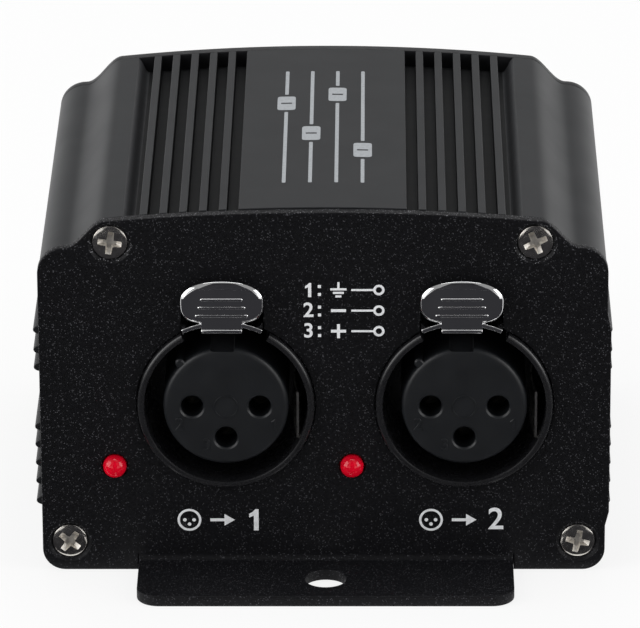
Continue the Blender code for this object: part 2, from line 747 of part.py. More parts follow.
def make_lamps(red, tinned):
    tip = -LAMP_PROUD
    dome_end = tip + LAMP_RADIUS
    back = tip + LAMP_LENGTH
    flange = back - 1.0 * MM
    profile = []
    steps = 5
    for i in range(steps + 1):
        turn = math.pi / 2 * i / steps
        radius = LAMP_RADIUS * math.sin(turn) if i else 0
        profile.append((radius, dome_end - LAMP_RADIUS * math.cos(turn)))
    profile += [(LAMP_RADIUS, flange), (LAMP_FLANGE_RADIUS, flange), (LAMP_FLANGE_RADIUS, back), (0, back)]
    lens = lathe(profile, SMALL_SIDES)
    start = back + GAP
    bend = 0.5 * MM
    drop = LAMP_HEIGHT - BOARD_TOP + BOARD_THICKNESS + TAIL_PROUD
    route = [(0, start, 0), (0, LAMP_LEG_DROP - bend, 0), (0, LAMP_LEG_DROP, -bend), (0, LAMP_LEG_DROP, -drop)]
    leg = sweep(route, LAMP_LEG_RADIUS, WIRE_SIDES)
    for side, x in lamp_centres():
        place(f"lamp_{side}", lens, red, (x, FRONT, LAMP_HEIGHT), smooth=40)
        for name, shift in (("short", -0.5), ("long", 0.5)):
            spot = (x + shift * LAMP_LEG_PITCH, FRONT, LAMP_HEIGHT)
            place(f"lamp_leg_{name}_{side}", leg, tinned, spot, smooth=40)


def make_board(green):
    holes = []
    for side, x in socket_centres():
        for u, v in contact_places():
            holes.append(circle((x + u, FRONT + TAIL_REACH), TAIL_RADIUS + GAP, WIRE_SIDES))
    for side, x in lamp_centres():
        for shift in (-0.5, 0.5):
            spot = (x + shift * LAMP_LEG_PITCH, FRONT + LAMP_LEG_DROP)
            holes.append(circle(spot, LAMP_LEG_RADIUS + GAP, WIRE_SIDES))
    outline = rectangle(-BOARD_HALF_WIDTH, -BOARD_HALF_LENGTH, BOARD_HALF_WIDTH, BOARD_HALF_LENGTH)
    mesh = prism("Z", BOARD_TOP - BOARD_THICKNESS, BOARD_TOP, outline, *holes)
    place("circuit_board", mesh, green)


def make_usb_socket(plated, white, gold):
    low = BOARD_TOP + GAP
    high = low + USB_HEIGHT
    back = -FRONT + USB_PROUD
    front = back - USB_LENGTH
    outer = rectangle(-USB_HALF_WIDTH, low, USB_HALF_WIDTH, high)
    side = USB_HALF_WIDTH - USB_WALL
    inner = rectangle(-side, low + USB_WALL, side, high - USB_WALL)
    place("usb_shell", prism("Y", front, back, outer, inner), plated)
    middle = (low + high) / 2
    side -= GAP
    body_back = back - 0.8 * MM
    body = block((-side, front, low + USB_WALL + GAP), (side, body_back, high - USB_WALL - GAP))
    wide = USB_MOUTH_HALF_WIDTH
    tall = USB_MOUTH_HALF_HEIGHT
    chamfer = USB_MOUTH_CHAMFER
    mouth = [(-wide, middle - tall), (wide, middle - tall), (wide, middle + tall - chamfer)]
    mouth += [(wide - chamfer, middle + tall), (chamfer - wide, middle + tall), (-wide, middle + tall - chamfer)]
    thin = USB_TONGUE_HALF_HEIGHT
    reach = USB_TONGUE_HALF_WIDTH
    tongue = rectangle(-reach, middle - thin, reach, middle + thin)
    body = cut(body, prism("Y", body_back - USB_MOUTH_DEPTH, body_back + MM, mouth, tongue))
    place("usb_insulator", body, white)
    strip_end = body_back - 0.6 * MM
    strip_start = body_back - USB_MOUTH_DEPTH + GAP
    half = 0.5 * MM
    lift = 0.1 * MM
    thick = 0.25 * MM
    number = 1
    for level in (thin + lift, -thin - lift - thick):
        for x in (1.25 * MM, -1.25 * MM):
            start = (x - half, strip_start, middle + level)
            end = (x + half, strip_end, middle + level + thick)
            place(f"usb_contact_{number}", block(start, end), gold)
            number += 1


def chip(width, length, height):
    """Moulded package whose sides draw in a little towards the top."""
    draft = 0.15 * MM
    shape = bmesh.new()
    bmesh.ops.create_cube(shape, size=1.0)
    for point in shape.verts:
        pull = draft if point.co.z > 0 else 0.0
        point.co.x = math.copysign(width / 2 - pull, point.co.x)
        point.co.y = math.copysign(length / 2 - pull, point.co.y)
        point.co.z = height if point.co.z > 0 else 0.0
    return mesh_from(shape)


def make_components(epoxy, can, sleeve):
    seat = BOARD_TOP + GAP
    packages = [
        ("microcontroller", -16.0, 6.0, 10.0, 10.0, 1.2),
        ("usb_bridge_chip", 0.0, 5.0, 5.3, 10.2, 1.8),
        ("line_driver_left", -13.0, -4.5, 5.0, 4.0, 1.5),
        ("line_driver_right", 18.5, -4.5, 5.0, 4.0, 1.5),
        ("voltage_regulator", 20.0, 8.0, 6.6, 6.2, 2.3),
    ]
    for name, x, y, width, length, height in packages:
        mesh = chip(width * MM, length * MM, height * MM)
        place(name, mesh, epoxy, (x * MM, y * MM, seat))
    end = 2.3 * MM
    apart = 3.3 * MM
    outline = arc((apart, 0), end, -90, 90, 6) + arc((-apart, 0), end, 90, 270, 6)
    place("crystal", prism("Z", 0, 3.5 * MM, outline), can, (-17.0 * MM, 17.0 * MM, seat))
    radius = 3.15 * MM
    height = 11.0 * MM
    neck = 0.3 * MM
    profile = [(0, 0), (radius, 0), (radius, 1.2 * MM), (radius - neck, 1.6 * MM), (radius, 2.0 * MM)]
    profile += [(radius, height - neck), (radius - neck, height), (0, height)]
    mesh = lathe(profile, SMALL_SIDES, axis="Z")
    for side, x in (("left", -27.0 * MM), ("right", 27.0 * MM)):
        place(f"capacitor_{side}", mesh, sleeve, (x, 18.0 * MM, seat), smooth=40)


def build():
    clear_scene()
    anodised = finish("anodised_grey", (0.065, 0.067, 0.072), 0.42, 0.7)
    powder = finish("black_powder_coat", (0.010, 0.010, 0.012), 0.5)
    zinc = finish("nickel_screws", (0.62, 0.60, 0.56), 0.22, 1.0)
    black = finish("black_nylon", (0.012, 0.012, 0.013), 0.45)
    dark = finish("charcoal_nylon", (0.020, 0.021, 0.023), 0.55)
    silver = finish("silver_contacts", (0.55, 0.53, 0.50), 0.3, 1.0)
    gold = finish("gold_contacts", (0.72, 0.48, 0.16), 0.28, 1.0)
    chrome = finish("chrome", (0.75, 0.75, 0.75), 0.06, 1.0)
    steel = finish("spring_steel", (0.45, 0.45, 0.46), 0.3, 1.0)
    red = finish("red_lens", (0.75, 0.01, 0.01), 0.15)
    green = finish("green_board", (0.02, 0.16, 0.06), 0.4)
    white = finish("white_insulator", (0.75, 0.75, 0.72), 0.5)
    epoxy = finish("black_epoxy", (0.02, 0.02, 0.02), 0.6)
    sleeve = finish("blue_sleeve", (0.03, 0.05, 0.16), 0.4)
    make_housing(anodised)
    make_front_plate(powder)
    make_rear_plate(powder)
    make_screws(zinc)
    make_sockets(black, dark, silver, gold, chrome, steel)
    make_lamps(red, silver)
    make_board(green)
    make_usb_socket(zinc, white, gold)
    make_components(epoxy, zinc, sleeve)


build()
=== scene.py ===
# Looks of a USB DMX interface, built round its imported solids.
# Everything is in metres. X runs along the front, Y from the front to the rear, Z up.

import math

import bmesh
import bpy
from mathutils import Matrix, Vector
from mathutils.geometry import tessellate_polygon


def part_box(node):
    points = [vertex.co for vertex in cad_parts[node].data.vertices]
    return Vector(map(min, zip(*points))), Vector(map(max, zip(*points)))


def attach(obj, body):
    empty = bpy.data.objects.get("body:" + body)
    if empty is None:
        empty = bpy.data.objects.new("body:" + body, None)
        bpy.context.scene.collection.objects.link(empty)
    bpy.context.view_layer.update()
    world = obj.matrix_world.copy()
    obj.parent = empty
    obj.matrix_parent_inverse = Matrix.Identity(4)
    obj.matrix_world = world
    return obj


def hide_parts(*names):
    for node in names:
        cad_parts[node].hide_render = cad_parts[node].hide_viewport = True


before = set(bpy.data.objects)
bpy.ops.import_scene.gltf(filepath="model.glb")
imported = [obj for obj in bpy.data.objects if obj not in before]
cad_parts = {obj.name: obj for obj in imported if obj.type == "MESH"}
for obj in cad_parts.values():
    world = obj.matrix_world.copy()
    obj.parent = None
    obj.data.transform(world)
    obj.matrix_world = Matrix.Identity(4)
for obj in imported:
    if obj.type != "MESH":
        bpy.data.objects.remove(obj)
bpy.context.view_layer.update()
mm = 0.001
print("frame loaded")

# the camera stands where the photograph was taken from
camera = dict(
    place=(6.86 * mm, -796.1 * mm, 343.05 * mm),
    pitch=21.848,  # degrees down
    yaw=-0.543,
    roll=-0.232,
    lens=349.45,
    sensor=36.0,
)


def addCamera():
    pitch, yaw, roll = (math.radians(camera[turn]) for turn in ("pitch", "yaw", "roll"))
    ahead = Vector((math.sin(yaw) * math.cos(pitch), math.cos(yaw) * math.cos(pitch), -math.sin(pitch)))
    level = Vector((math.cos(yaw), -math.sin(yaw), 0))
    upright = level.cross(ahead)
    right = level * math.cos(roll) + upright * math.sin(roll)
    up = upright * math.cos(roll) - level * math.sin(roll)
    data = bpy.data.cameras.new("camera")
    data.sensor_width = camera["sensor"]
    data.lens = camera["lens"]
    data.clip_start = 0.05
    data.clip_end = 60.0
    seen = bpy.data.objects.new("camera", data)
    axes = Matrix((right, up, -ahead)).transposed().to_4x4()
    seen.matrix_world = Matrix.Translation(camera["place"]) @ axes
    bpy.context.scene.collection.objects.link(seen)
    bpy.context.scene.camera = seen


addCamera()


# outlines are lists of (u, v) points, with angles in degrees
def arcPoints(centre, radius, start, end, steps):
    points = []
    for i in range(steps + 1):
        turn = math.radians(start + (end - start) * i / steps)
        points.append((centre[0] + radius * math.cos(turn), centre[1] + radius * math.sin(turn)))
    return points


def circlePoints(centre, radius, sides):
    return arcPoints(centre, radius, 0, 360, sides)[:-1]


def boxPoints(left, low, right, high):
    return [(left, low), (right, low), (right, high), (left, high)]


def rounded(points, radius, steps=4, least=25):
    # softens each corner that turns more than the least angle
    result = []
    for i, point in enumerate(points):
        here = Vector(point)
        back = Vector(points[i - 1]) - here
        ahead = Vector(points[(i + 1) % len(points)]) - here
        turn = back.angle(-ahead)
        if math.degrees(turn) < least:
            result.append(point)
            continue
        reach = min(radius * math.tan(turn / 2), 0.48 * back.length, 0.48 * ahead.length)
        first = here + back.normalized() * reach
        last = here + ahead.normalized() * reach
        for k in range(steps + 1):
            s = k / steps
            spot = first * (1 - s) ** 2 + here * 2 * s * (1 - s) + last * s ** 2
            result.append((spot.x, spot.y))
    return result


def wound(points, hole=False):
    # an outer outline runs anticlockwise and a hole clockwise, so the material is on the left
    area = sum(a[0] * b[1] - b[0] * a[1] for a, b in zip(points, points[1:] + points[:1]))
    return points if (area > 0) != hole else points[::-1]


def mirrored(half):
    # closes a right half, from the top centre to the bottom, with its mirror image
    return half + [(-x, z) for x, z in reversed(half) if abs(x) > 1e-9]


def mitres(points):
    # the way out of the material at each point of a wound outline
    ways = []
    for i, point in enumerate(points):
        before = Vector(point) - Vector(points[i - 1])
        after = Vector(points[(i + 1) % len(points)]) - Vector(point)
        both = Vector((before.y, -before.x)).normalized() + Vector((after.y, -after.x)).normalized()
        ways.append(both / max(both.length_squared / 2, 0.3))
    return ways


def roundedEdge(thickness, radius, steps=3):
    # (offset, depth) steps of a plate's edge with both its corners rounded
    front = []
    for k in range(steps + 1):
        turn = math.pi / 2 * k / steps
        front.append((radius * (math.sin(turn) - 1), radius * (1 - math.cos(turn))))
    return front + [(offset, thickness - depth) for offset, depth in reversed(front)]


def edgeBetween(start, end, radius, steps=3):
    return [(offset, depth + start) for offset, depth in roundedEdge(end - start, radius, steps)]


def roundedRim(radius, soft, start, steps, first=0):
    # (radius, distance) points of a turned shape's soft edge, out from its face at the start
    turns = [math.pi / 2 * k / steps for k in range(first, steps + 1)]
    return [(radius - soft + soft * math.sin(t), start + soft - soft * math.cos(t)) for t in turns]


# ways to lay a flat (u, v) outline and its depth in space
def alongX(u, v, depth):
    return (depth, u, v)


def alongY(u, v, depth):
    return (u, depth, v)


def alongZ(u, v, depth):
    return (u, v, depth)


def meshOf(shape):
    bmesh.ops.recalc_face_normals(shape, faces=shape.faces)
    mesh = bpy.data.meshes.new("shape")
    shape.to_mesh(mesh)
    shape.free()
    return mesh


def bridge(shape, rings):
    # joins each closed ring of corners to the next one
    for near, far in zip(rings, rings[1:]):
        for i in range(len(near)):
            j = (i + 1) % len(near)
            shape.faces.new((near[i], near[j], far[j], far[i]))


def slab(loops, lay):
    # a thick plate: each loop is a wound outline and the steps of its edge from face to face
    shape = bmesh.new()
    caps = ([], [])
    for points, edge in loops:
        ways = mitres(points)
        rings = []
        for offset, depth in edge:
            flat = [(p[0] + way.x * offset, p[1] + way.y * offset) for p, way in zip(points, ways)]
            rings.append((flat, [shape.verts.new(lay(u, v, depth)) for u, v in flat]))
        bridge(shape, [corners for _, corners in rings])
        caps[0].append(rings[0])
        caps[1].append(rings[-1])
    for cap in caps:
        corners = [corner for _, ring in cap for corner in ring]
        flats = [[Vector((u, v, 0)) for u, v in flat] for flat, _ in cap]
        for triangle in tessellate_polygon(flats):
            shape.faces.new([corners[k] for k in triangle])
    return meshOf(shape)


def loft(rings, lay):
    # a closed body through (outline, depth) rings that have as many points each
    shape = bmesh.new()
    rows = [[shape.verts.new(lay(u, v, depth)) for u, v in points] for points, depth in rings]
    bridge(shape, rows)
    shape.faces.new(rows[0])
    shape.faces.new(rows[-1])
    return meshOf(shape)


def turned(profile, sides, lay=alongY, centre=(0, 0), start=0, end=360, ring=False):
    # a profile of (radius, distance along the axis); a ring's profile closes on itself
    whole = end - start >= 360
    shape = bmesh.new()
    count = sides if whole else sides + 1
    rows = []
    for radius, along in profile:
        if radius == 0:
            rows.append([shape.verts.new(lay(centre[0], centre[1], along))] * count)
            continue
        row = []
        for i in range(count):
            turn = math.radians(start + (end - start) * i / sides)
            u = centre[0] + radius * math.cos(turn)
            v = centre[1] + radius * math.sin(turn)
            row.append(shape.verts.new(lay(u, v, along)))
        rows.append(row)
    following = rows[1:] + rows[:1] if ring else rows[1:]
    for first, second in zip(rows, following):
        for i in range(sides):
            j = (i + 1) % count
            corners = list(dict.fromkeys((first[i], first[j], second[j], second[i])))
            if len(corners) > 2:
                shape.faces.new(corners)
    if not whole:
        shape.faces.new([row[0] for row in rows])
        shape.faces.new([row[-1] for row in rows])
    return meshOf(shape)


def wire(route, radius, sides, lean=(1, 0, 0)):
    # a round wire through the points of a route
    shape = bmesh.new()
    rings = []
    for i, point in enumerate(route):
        heading = Vector(route[min(i + 1, len(route) - 1)]) - Vector(route[max(i - 1, 0)])
        heading.normalize()
        side = heading.cross(Vector(lean))
        if side.length < 0.3:
            side = heading.cross(Vector((0, 1, 0.1)))
        side.normalize()
        other = heading.cross(side)
        ring = []
        for k in range(sides):
            turn = 2 * math.pi * k / sides
            out = side * math.cos(turn) + other * math.sin(turn)
            ring.append(shape.verts.new(Vector(point) + out * radius))
        rings.append(ring)
    bridge(shape, rings)
    shape.faces.new(rings[0][::-1])
    shape.faces.new(rings[-1])
    return meshOf(shape)


def combined(operation, base, *others):
    for other in others:
        holders = []
        for mesh in (base, other):
            holder = bpy.data.objects.new("holder", mesh)
            bpy.context.scene.collection.objects.link(holder)
            holders.append(holder)
        modifier = holders[0].modifiers.new("combine", "BOOLEAN")
        modifier.operation = operation
        modifier.solver = "EXACT"
        modifier.object = holders[1]
        evaluated = holders[0].evaluated_get(bpy.context.evaluated_depsgraph_get())
        base = bpy.data.meshes.new_from_object(evaluated)
        for holder in holders:
            bpy.data.objects.remove(holder)
        shape = bmesh.new()
        shape.from_mesh(base)
        bmesh.ops.remove_doubles(shape, verts=shape.verts, dist=0.001 * mm)
        shape.to_mesh(base)
        shape.free()
    return base


def cut(base, *tools):
    return combined("DIFFERENCE", base, *tools)


def join(base, *others):
    return combined("UNION", base, *others)


def gathered(meshes):
    # several separate shapes in one mesh
    shape = bmesh.new()
    for mesh in meshes:
        shape.from_mesh(mesh)
    result = bpy.data.meshes.new("shape")
    shape.to_mesh(result)
    shape.free()
    return result


def moved(mesh, x, y, z):
    mesh = mesh.copy()
    mesh.transform(Matrix.Translation((x, y, z)))
    return mesh


def swung(mesh, degrees, axis):
    mesh = mesh.copy()
    mesh.transform(Matrix.Rotation(math.radians(degrees), 4, axis))
    return mesh


def show(name, mesh, finish, body="box", nodes=(), place=(0, 0, 0), turn=(0, 0, 0), smooth=32):
    # one finished piece, riding on its body and standing for the nodes that it replaces
    piece = bpy.data.objects.new(name, mesh)
    mesh.materials.clear()
    mesh.materials.append(finishes[finish])
    mesh.shade_smooth()
    mesh.set_sharp_from_angle(angle=math.radians(smooth))
    piece.location = place
    piece.rotation_euler = turn
    bpy.context.scene.collection.objects.link(piece)
    even = piece.modifiers.new("evenShading", "WEIGHTED_NORMAL")
    even.keep_sharp = True
    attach(piece, body)
    if nodes:
        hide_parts(*nodes)
    return piece


# materials are worked out from the surface's own place, never from the camera
def startMaterial(name, colour, roughness, metallic=0.0, specular=0.5):
    material = bpy.data.materials.new(name)
    material.use_nodes = True
    shader = material.node_tree.nodes["Principled BSDF"]
    shader.inputs["Base Color"].default_value = (*colour, 1.0)
    shader.inputs["Roughness"].default_value = roughness
    shader.inputs["Metallic"].default_value = metallic
    shader.inputs["Specular IOR Level"].default_value = specular
    material.diffuse_color = (*colour, 1.0)
    return material, material.node_tree, shader


def addNoise(tree, scale, detail=2.0, stretch=(1, 1, 1)):
    # scale is in waves per metre
    coords = tree.nodes.new("ShaderNodeTexCoord")
    mapping = tree.nodes.new("ShaderNodeMapping")
    mapping.inputs["Scale"].default_value = stretch
    noise = tree.nodes.new("ShaderNodeTexNoise")
    noise.inputs["Scale"].default_value = scale
    noise.inputs["Detail"].default_value = detail
    tree.links.new(coords.outputs["Object"], mapping.inputs["Vector"])
    tree.links.new(mapping.outputs["Vector"], noise.inputs["Vector"])
    return noise.outputs["Fac"]


def addCells(tree, scale):
    # a random number for each small cell
    coords = tree.nodes.new("ShaderNodeTexCoord")
    cells = tree.nodes.new("ShaderNodeTexVoronoi")
    cells.inputs["Scale"].default_value = scale
    tree.links.new(coords.outputs["Object"], cells.inputs["Vector"])
    split = tree.nodes.new("ShaderNodeSeparateColor")
    tree.links.new(cells.outputs["Color"], split.inputs["Color"])
    return split.outputs["Red"]


def addRamp(tree, source, stops):
    # stops are (place, value or colour) pairs
    ramp = tree.nodes.new("ShaderNodeValToRGB")
    band = ramp.color_ramp
    while len(band.elements) < len(stops):
        band.elements.new(0.5)
    for element, (place, value) in zip(band.elements, stops):
        element.position = place
        colour = value if isinstance(value, tuple) else (value, value, value)
        element.color = (*colour, 1.0)
    tree.links.new(source, ramp.inputs["Fac"])
    return ramp.outputs["Color"]


def vary(tree, shader, value, source, stops):
    # one of the shader's values follows a pattern
    tree.links.new(addRamp(tree, source, stops), shader.inputs[value])


def addMix(tree, share, first, second):
    mix = tree.nodes.new("ShaderNodeMix")
    mix.data_type = "RGBA"
    tree.links.new(share, mix.inputs["Factor"])
    tree.links.new(first, mix.inputs["A"])
    tree.links.new(second, mix.inputs["B"])
    return mix.outputs["Result"]


def addSum(tree, first, second, share=1.0):
    # first + second * share
    node = tree.nodes.new("ShaderNodeMath")
    node.operation = "MULTIPLY_ADD"
    tree.links.new(second, node.inputs[0])
    node.inputs[1].default_value = share
    tree.links.new(first, node.inputs[2])
    return node.outputs["Value"]


def addBump(tree, shader, height, depth, strength=1.0):
    bump = tree.nodes.new("ShaderNodeBump")
    bump.inputs["Distance"].default_value = depth
    bump.inputs["Strength"].default_value = strength
    tree.links.new(height, bump.inputs["Height"])
    tree.links.new(bump.outputs["Normal"], shader.inputs["Normal"])


def anodisedFinish():
    material, tree, shader = startMaterial("anodisedAluminium", (0.017, 0.018, 0.020), 0.42, 0.08, 0.25)
    cloud = addNoise(tree, 60, 2.0)
    dieLines = addNoise(tree, 600, 1.0, (1, 0.002, 1))
    mixed = addSum(tree, cloud, dieLines, 0.06)
    vary(tree, shader, "Base Color", mixed, [(0.3, (0.0155, 0.0165, 0.0185)), (0.9, (0.019, 0.020, 0.0225))])
    vary(tree, shader, "Roughness", addNoise(tree, 150, 2.0), [(0.3, 0.42), (0.7, 0.45)])
    addBump(tree, shader, addNoise(tree, 2500, 2.0), 0.002 * mm, 0.25)
    return material


def mixedFinish(name, colour, roughness, metallic=0.0, specular=0.5, tone=None, gloss=None, relief=None):
    # tone and gloss are a noise's scale, its detail and stops; relief is a scale, detail, depth and strength
    material, tree, shader = startMaterial(name, colour, roughness, metallic, specular)
    for value, pattern in (("Base Color", tone), ("Roughness", gloss)):
        if pattern:
            scale, detail, stops = pattern
            vary(tree, shader, value, addNoise(tree, scale, detail), stops)
    if relief:
        scale, detail, depth, strength = relief
        addBump(tree, shader, addNoise(tree, scale, detail), depth, strength)
    return material


def grooveFinish(name, deep, pale):
    # the same anodising, rougher where the die leaves it; its colour is painted shade in the grooves and
    # painted light on the slope beside them
    return mixedFinish(name, pale, 0.55, 0.0, 0.2, tone=(500, 3.0, [(0.3, deep), (0.7, pale)]),
                       relief=(5000, 2.0, 0.004 * mm, 0.3))


def powderFinish(name, specular, roughness, brightest, crowd):
    # crowd is the share of the cells that carry glints, painted into the base colour
    material, tree, shader = startMaterial(name, (0.005, 0.005, 0.006), roughness, 0.0, specular)
    grain = addNoise(tree, 3600, 3.0)
    dark = addRamp(tree, grain, [(0.3, (0.0022, 0.0023, 0.0033)), (0.7, (0.0066, 0.0067, 0.0086))])
    # painted glints: bright cells in the base colour
    paintedGlint = addRamp(tree, grain, [(0.0, (0.04, 0.04, 0.045)), (1.0, brightest)])
    glintCells = addRamp(tree, addCells(tree, 9000), [(1 - crowd, 0.0), (1 - crowd / 2, 1.0)])
    tree.links.new(addMix(tree, glintCells, dark, paintedGlint), shader.inputs["Base Color"])
    vary(tree, shader, "Roughness", grain, [(0.35, roughness + 0.07), (0.65, roughness - 0.07)])
    orangePeel = addNoise(tree, 1400, 2.0)
    addBump(tree, shader, addSum(tree, grain, orangePeel, 0.8), 0.05 * mm, 0.5)
    return material


def nickelFinish():
    tone = (1500, 3.0, [(0.35, (0.68, 0.65, 0.60)), (0.65, (0.86, 0.83, 0.78))])
    gloss = (1500, 3.0, [(0.3, 0.12), (0.7, 0.24)])
    return mixedFinish("nickelPlate", (0.78, 0.75, 0.70), 0.28, 1.0, tone=tone, gloss=gloss,
                       relief=(4000, 2.0, 0.01 * mm, 0.4))


def nylonFinish(name, colour, lighter, roughness, specular=0.4):
    tone = (300, 3.0, [(0.3, colour), (0.75, lighter)])
    gloss = (800, 2.0, [(0.3, roughness - 0.04), (0.7, roughness + 0.05)])
    return mixedFinish(name, colour, roughness, 0.0, specular, tone, gloss, (6000, 3.0, 0.012 * mm, 0.4))


def chromeFinish():
    tone = (260, 3.0, [(0.3, (0.82, 0.82, 0.83)), (0.7, (0.90, 0.90, 0.90))])
    gloss = (260, 3.0, [(0.35, 0.03), (0.75, 0.09)])
    return mixedFinish("chromePlate", (0.86, 0.86, 0.87), 0.05, 1.0, tone=tone, gloss=gloss,
                       relief=(700, 2.0, 0.004 * mm, 0.2))


def metalFinish(name, colour, roughness):
    pale = tuple(min(1.0, c * 1.15) for c in colour)
    deep = tuple(c * 0.85 for c in colour)
    tone = (1200, 3.0, [(0.3, deep), (0.7, pale)])
    gloss = (1200, 3.0, [(0.3, roughness - 0.05), (0.7, roughness + 0.08)])
    return mixedFinish(name, colour, roughness, 1.0, tone=tone, gloss=gloss,
                       relief=(5000, 2.0, 0.004 * mm, 0.3))


def resinFinish():
    tone = (900, 2.0, [(0.3, (0.80, 0.002, 0.020)), (0.7, (0.95, 0.003, 0.026))])
    material = mixedFinish("redResin", (0.88, 0.002, 0.022), 0.05, 0.0, 0.45, tone)
    shader = material.node_tree.nodes["Principled BSDF"]
    shader.inputs["Transmission Weight"].default_value = 0.2
    shader.inputs["IOR"].default_value = 1.5
    return material


def inkFinish(name, colour):
    worn = tuple(c * 0.86 for c in colour)
    return mixedFinish(name, colour, 0.55, 0.0, 0.3, tone=(2500, 2.0, [(0.3, worn), (0.55, colour)]),
                       relief=(2500, 2.0, 0.01 * mm, 0.3))


def boardFinish():
    material, tree, shader = startMaterial("solderMask", (0.01, 0.12, 0.04), 0.35)
    tracks = tree.nodes.new("ShaderNodeTexBrick")
    tracks.inputs["Scale"].default_value = 260
    tracks.inputs["Color1"].default_value = (0.010, 0.110, 0.038, 1)
    tracks.inputs["Color2"].default_value = (0.014, 0.150, 0.052, 1)
    tracks.inputs["Mortar"].default_value = (0.030, 0.230, 0.080, 1)
    tracks.inputs["Mortar Size"].default_value = 0.03
    coords = tree.nodes.new("ShaderNodeTexCoord")
    tree.links.new(coords.outputs["Object"], tracks.inputs["Vector"])
    tree.links.new(tracks.outputs["Color"], shader.inputs["Base Color"])
    addBump(tree, shader, tracks.outputs["Fac"], 0.03 * mm, 0.4)
    return material


finishes = dict(
    anodised=anodisedFinish(),
    # painted shade: the grooves' darker colour stands for the shade in them
    groove=grooveFinish("groovePaintedShadeAluminium", (0.007, 0.0075, 0.0085), (0.011, 0.0115, 0.0125)),
    # painted light: the slope's paler colour stands for light on it
    slope=grooveFinish("slopePaintedLightAluminium", (0.042, 0.043, 0.046), (0.052, 0.053, 0.056)),
    powder=powderFinish("powderCoat", 0.21, 0.55, (0.09, 0.09, 0.10), 0.05),
    # painted highlight: brighter and more glints on the front panel's edges and seats, where light catches
    powderEdgeHighlight=powderFinish("powderEdgeHighlight", 0.2, 0.5, (0.34, 0.34, 0.36), 0.08),
    # painted light: a paler coat than the front panel's, so that the rear panel's top edge shows lit
    rearCoatPaintedLight=nylonFinish("rearCoatPaintedLight", (0.014, 0.014, 0.016), (0.020, 0.020, 0.022), 0.45),
    nickel=nickelFinish(),
    # painted light: the recess's nickel is paler than the head's
    pressed=metalFinish("pressedNickelPaintedLight", (0.88, 0.84, 0.79), 0.52),
    shellNylon=nylonFinish("shellNylon", (0.009, 0.009, 0.0105), (0.013, 0.013, 0.0145), 0.26, 0.6),
    insertNylon=nylonFinish("insertNylon", (0.0095, 0.0105, 0.0125), (0.0135, 0.015, 0.0175), 0.40, 0.45),
    chrome=chromeFinish(),
    silver=metalFinish("silverPlate", (0.62, 0.60, 0.56), 0.28),
    gold=metalFinish("goldFlash", (0.72, 0.50, 0.20), 0.25),
    steel=metalFinish("springSteel", (0.45, 0.45, 0.46), 0.30),
    resin=resinFinish(),
    whiteInk=inkFinish("whiteInk", (0.82, 0.83, 0.85)),
    silverInk=inkFinish("silverInk", (0.42, 0.44, 0.46)),
    board=boardFinish(),
    whitePlastic=nylonFinish("whitePlastic", (0.66, 0.66, 0.63), (0.74, 0.74, 0.71), 0.45),
    epoxy=nylonFinish("chipEpoxy", (0.014, 0.014, 0.014), (0.024, 0.024, 0.024), 0.58),
    sleeve=nylonFinish("capacitorSleeve", (0.020, 0.035, 0.120), (0.030, 0.050, 0.160), 0.32),
)
print("finishes mixed")

# the box's form, shared by the tube and both end panels
form = dict(
    crown=51.55 * mm,
    domeRadius=278 * mm,
    panelCrown=51.4 * mm,
    panelRadius=330 * mm,
    halfWidth=37.75 * mm,
    shoulderStart=28.65 * mm,
    shoulderEnd=34.05 * mm,
    shoulderHeight=46.4 * mm,
    baseCorner=3.0 * mm,
    tuckSide=0.12 * mm,  # how far the tube and the rear panel stay inside the front panel's outline
    tuckShoulder=0.2 * mm,
    sheet=1.5 * mm,
    earLength=12.05 * mm,
)
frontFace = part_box("front_plate")[0].y + form["earLength"]
rearFace = -frontFace


def domeHeight(x):
    return form["crown"] - x * x / (2 * form["domeRadius"])


def panelTop(x):
    # the panels' top edge is a little flatter than the tube's dome
    return form["panelCrown"] - x * x / (2 * form["panelRadius"])


def shoulderPoints(top, steps, tuck):
    # from the dome's edge, at that height, over the S-shaped step and round the upper corner
    start, end, low = (form[key] for key in ("shoulderStart", "shoulderEnd", "shoulderHeight"))
    end -= tuck * form["tuckSide"]
    low -= tuck * form["tuckShoulder"]
    points = []
    for i in range(steps + 1):
        share = i / steps
        height = low + (top - low) * (1 + math.cos(math.pi * share)) / 2
        points.append((start + (end - start) * share, height))
    radius = form["halfWidth"] - tuck * form["tuckSide"] - end
    return points + arcPoints((end, low - radius), radius, 90, 0, steps)[1:]


def baseCornerPoints(steps, tuck):
    corner = form["baseCorner"]
    side = form["halfWidth"] - tuck * form["tuckSide"]
    return arcPoints((side - corner, corner), corner, 0, -90, steps)


screwPlaces = dict(
    upper_left=(-28.08 * mm, 47.05 * mm),
    upper_right=(28.08 * mm, 47.05 * mm),
    lower_left=(-34.1 * mm, 4.1 * mm),
    lower_right=(34.1 * mm, 4.1 * mm),
)

# extruded tube
tube = dict(
    frontGap=0.08 * mm,
    rearGap=0.05 * mm,
    wall=1.8 * mm,
    crownWall=3.9 * mm,
    panelHalf=11.1 * mm,
    fins=5,
    finWidth=1.05 * mm,
    finPitch=2.62 * mm,
    firstFin=13.17 * mm,
    grooveDepth=2.3 * mm,
    recessFloorEnd=24.9 * mm,
    recessWallTop=26.55 * mm,
    ribs=[9.45, 12.35, 15.0, 17.65, 20.2, 28.8, 31.3, 34.15],  # millimetres up
    leftRibReach=0.8 * mm,  # the ribs stand out this far past the side
    rightRibReach=0.7 * mm,
    ribHalf=0.6 * mm,
    channelRadius=1.7 * mm,
    channelWall=1.6 * mm,
    slotReach=33.2 * mm,
    slotLow=8.1 * mm,
    slotHigh=10.3 * mm,
    ledge=1.0 * mm,
    finEdge=0.16 * mm,
    sawnEdge=0.08 * mm,
)


